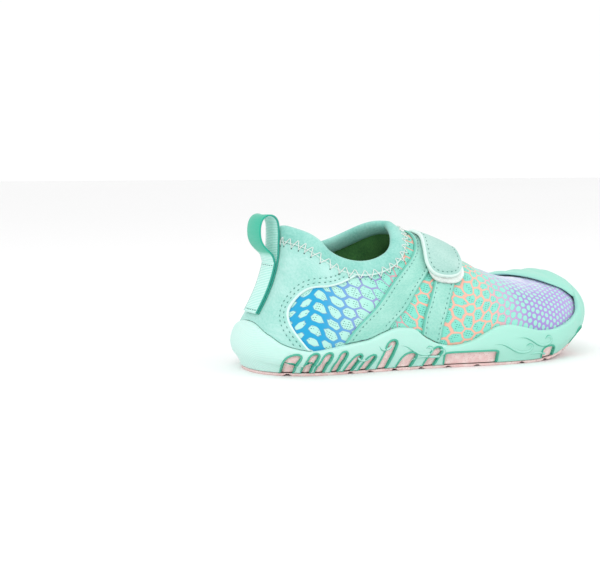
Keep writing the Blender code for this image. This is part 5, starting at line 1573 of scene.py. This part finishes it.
def makeCup():
    places = evenPlaces(cup["columns"])
    s, medial = sideOf(places)
    dense = cupColumns(places, 121)
    count = len(places)
    lows, highs = cup["lowRows"], cup["highRows"]
    outer = np.empty((count, lows + highs - 1, 3))
    for i, column in enumerate(dense):
        length = arcLength(column)
        lower = min(13.5 * mm, 0.6 * length[-1])
        want = np.concatenate([np.linspace(0, lower, lows), np.linspace(lower, length[-1], highs)[1:]])
        for k in range(3):
            outer[i, :, k] = np.interp(want, length, column[:, k])
    level = outer[..., 2] - ground(outer[..., 0])
    rows = outer.shape[1]
    stationGrid = np.broadcast_to(s[:, None], level.shape)
    # recesses for the arches, and slow waves in the toe cap
    inward = np.zeros(level.shape)
    rimTealAndShade = np.zeros(level.shape)
    for isMedial, notches in ((False, cup["notchesLateral"]), (True, cup["notchesMedial"])):
        onSide = medial[:, None] == isMedial
        for notch in notches:
            inside = archDepth(stationGrid, level, notch)
            t = np.clip(inside / 0.55, 0, 1)
            inward = np.maximum(inward, np.where(onSide, cup["notchDepth"] * t * t * (3 - 2 * t), 0))
            # dark teal in and round each arch: the rim's colour at its edge, painted shade inside the recess
            rimTealAndShade = np.maximum(rimTealAndShade, np.where(onSide, np.clip((inside + 0.45) / 0.5, 0, 1), 0))
    cap = overToe(s, medial)[:, None] * np.clip((level - 9 * mm) / (6 * mm), 0, 1)
    length = arcLength(footCurve(places)) / mm
    ripple = np.sin(length[:, None] / 8.5 * 2 * math.pi / 1.15 + 0.6 * np.sin(level / mm / 4))
    out = unit(np.cross(np.gradient(outer, axis=0), np.gradient(outer, axis=1)))
    fade = np.clip((1 - np.arange(rows) / (rows - 1)) / 0.1, 0, 1)[None, :]
    outer = outer - out * inward[..., None] + out * (0.38 * mm * ripple * cap * fade)[..., None]
    # round the lip over to the inner wall, and close the floor inside and underneath
    top = outer[:, -1]
    v = cupShare(s, medial)
    w = np.where(medial, 2 - v, v)
    ease = cup["clearance"] + cup["capEase"] * overToe(s, medial)
    mouth = onLast(s, w, ease, creased=False)
    merged = (s > cup["capFront"])[:, None]
    crown = (top + mouth) / 2 + unit(top - outer[:, -3]) * np.where(merged, 0, 0.35 * mm)
    inner = [mouth]
    for share in (0.8, 0.5, 0.25, 0.0):
        inner.append(onLast(s, np.where(medial, 2 - v * share, v * share), ease, creased=False))
    foot = np.column_stack([footCurve(places), 0 * places]) + footNormal(places) * cup["clearance"]
    inner.append(atHeight(foot, cup["floorTop"]))
    under = atHeight(bottomRing(places, -cup["rimWidth"]), cup["rimUnderside"])
    roof = atHeight(bottomRing(places, -cup["rimWidth"]), cup["floorUnderside"])
    crown = np.where(merged, top, crown)
    column = np.concatenate(
        [roof[:, None], under[:, None], outer, crown[:, None], np.stack(inner, axis=1)], axis=1)
    total = column.shape[1]
    faces = gridFaces(count, total, closed=True)
    crownRow = 2 + rows
    i = faces[:, 0] // total
    j = faces[:, 0] % total
    capped = (s > cup["capFront"])[i] & (s > cup["capFront"])[(i + 1) % count]
    faces = faces[~(capped & (j >= crownRow - 1) & (j <= crownRow))]
    ring = np.arange(count) * total
    half = count // 2
    lids = []
    for k in range(half):
        a, b = k, k + 1
        c, d = (count - k - 1) % count, (count - k) % count
        lids.append([ring[a], ring[d], ring[c], ring[b]])
        lids.append([ring[a] + total - 1, ring[b] + total - 1, ring[c] + total - 1, ring[d] + total - 1])
    allFaces = faces.tolist() + [[int(n) for n in lid] for lid in lids]
    rimTealAndShadeAll = np.zeros((count, total))
    rimTealAndShadeAll[:, 2:2 + rows] = rimTealAndShade
    stations = np.broadcast_to(s[:, None], (count, total))
    side = np.zeros((count, total, 2))
    side[..., 0] = length[:, None]
    heights = np.concatenate([[0, 0], np.cumsum(np.full(total - 2, 0.45))])
    side[..., 1] = heights[None, :]
    meshPiece(
        "rubber_cup", column, allFaces, [cupMaterial], ("sole_cup",),
        {"rimTealAndShade": rimTealAndShadeAll, "station": stations}, {"side": side})


def makeCupRelief():
    # dark raised rims round the arches, and the wave lines, whose lower sides are painted darker as painted
    # shadow
    paths, normals, half, rise, rimTealAndShade, stations = [], [], [], [], [], []
    for medial, notches in ((False, cup["notchesLateral"]), (True, cup["notchesMedial"])):
        for notch in notches:
            count = 90 if notch[3] > 4 else 46
            s, level = archOutline(notch, count, 0.25 * mm)
            level = np.maximum(level, cup["rimUnderside"])
            u = 2 - s if medial else s
            path, normal = sidePoints(u, level, 0.05 * mm)
            thin = np.clip(np.minimum(np.arange(count), np.arange(count)[::-1]) / 6, 0.35, 1)
            paths.append(path)
            normals.append(normal)
            half.append(0.48 * mm * thin)
            rise.append(0.42 * mm * thin)
            rimTealAndShade.append(np.full(count * 8, 0.88))
            stations.append(np.full(count * 8, s[0]))
    for medial, lines in ((False, waves["lateral"]), (True, waves["medial"])):
        for line in lines:
            table = np.array(line)
            chord = np.concatenate(
                [[0], np.cumsum(np.hypot(np.diff(table[:, 0]) * 198, np.diff(table[:, 1])))])
            count = int(chord[-1] / 0.55) + 8
            s, level = spline(chord, table)(np.linspace(0, chord[-1], count)).T
            u = 2 - s if medial else s
            path, normal = sidePoints(u, level * mm, 0.02 * mm)
            t = np.linspace(0, 1, count)
            thin = np.clip(np.minimum(t / 0.25, (1 - t) / 0.06), 0.12, 1)
            paths.append(path)
            normals.append(normal)
            half.append(waves["width"] * mm * thin)
            rise.append(waves["rise"] * mm * thin)
            # one side of each wave line is darker: painted shadow under the raised line
            turn = np.tile(np.cos(np.arange(8) / 8 * 2 * np.pi), count)
            lower = turn if not medial else -turn
            rimTealAndShade.append(np.clip(0.15 + 0.75 * lower, 0, 0.75))
            stations.append(np.repeat(s, 8))
    points, faces = tubes(paths, normals, half, rise, 8)
    meshPiece(
        "cup_rims_and_waves", points, faces, [cupMaterial], (),
        {"rimTealAndShade": np.concatenate(rimTealAndShade), "station": np.concatenate(stations)},
        {"side": np.column_stack([points[:, 0], points[:, 2]]) / mm})


makeCup()
makeCupRelief()
print("cup done")

# Floor, light and camera
studio = {
    "floor": "#f7f7f7",
    "world": 1.02,
    "key": 5.0,
    "fill": 2.0,
    "cameraPlace": (-0.26414, -0.55230, 0.09800),
    "cameraYaw": 25.78,  # degrees from +Y towards +X
    "cameraPitch": 5.407,  # degrees down
    "lens": 77.4,
}


def makeStudio():
    mesh = bpy.data.meshes.new("studio_floor")
    reach = 6.0
    corners = [(-reach, -reach, 0), (reach, -reach, 0), (reach, reach, 0), (-reach, reach, 0)]
    mesh.from_pydata(corners, [], [(0, 1, 2, 3)])
    floor = bpy.data.objects.new("studio_floor", mesh)
    bpy.context.scene.collection.objects.link(floor)
    material, tree, shader = newMaterial("matt_white_paper", 0.9, 1.45)
    noise = addNode(tree, "TexNoise", {"Scale": 3.0}).outputs[0]
    tone = fillRamp(addNode(tree, "ValToRGB", {"Fac": noise}), ((0.3, "#f5f5f5"), (0.7, studio["floor"])))
    tree.links.new(tone, shader.inputs["Base Color"])
    mesh.materials.append(material)
    world = bpy.data.worlds.new("soft_white_studio")
    world.use_nodes = True
    world.node_tree.nodes["Background"].inputs[0].default_value = (1, 1, 1, 1)
    world.node_tree.nodes["Background"].inputs[1].default_value = studio["world"]
    bpy.context.scene.world = world
    for name, place, aim, size, power in (
        ("key_softbox", (-0.75, -0.75, 1.10), (0.05, 0, 0.03), 0.9, studio["key"]),
        ("fill_softbox", (0.75, -0.60, 0.80), (0.06, 0, 0.03), 0.9, studio["fill"]),
    ):
        lamp = bpy.data.lights.new(name, "AREA")
        lamp.size = size
        lamp.energy = power
        light = bpy.data.objects.new(name, lamp)
        bpy.context.scene.collection.objects.link(light)
        light.location = place
        away = np.array(place) - np.array(aim)
        light.rotation_euler = (
            math.atan2(math.hypot(away[0], away[1]), away[2]), 0, math.atan2(away[1], away[0]) + math.pi / 2)
    lens = bpy.data.cameras.new("photo_camera")
    lens.lens = studio["lens"]
    lens.sensor_width = 36
    lens.clip_start = 0.01
    camera = bpy.data.objects.new("photo_camera", lens)
    bpy.context.scene.collection.objects.link(camera)
    camera.location = studio["cameraPlace"]
    camera.rotation_euler = (math.radians(90 - studio["cameraPitch"]), 0, -math.radians(studio["cameraYaw"]))
    bpy.context.scene.camera = camera
    bpy.context.scene.view_settings.view_transform = "Standard"


makeStudio()
print("studio done")
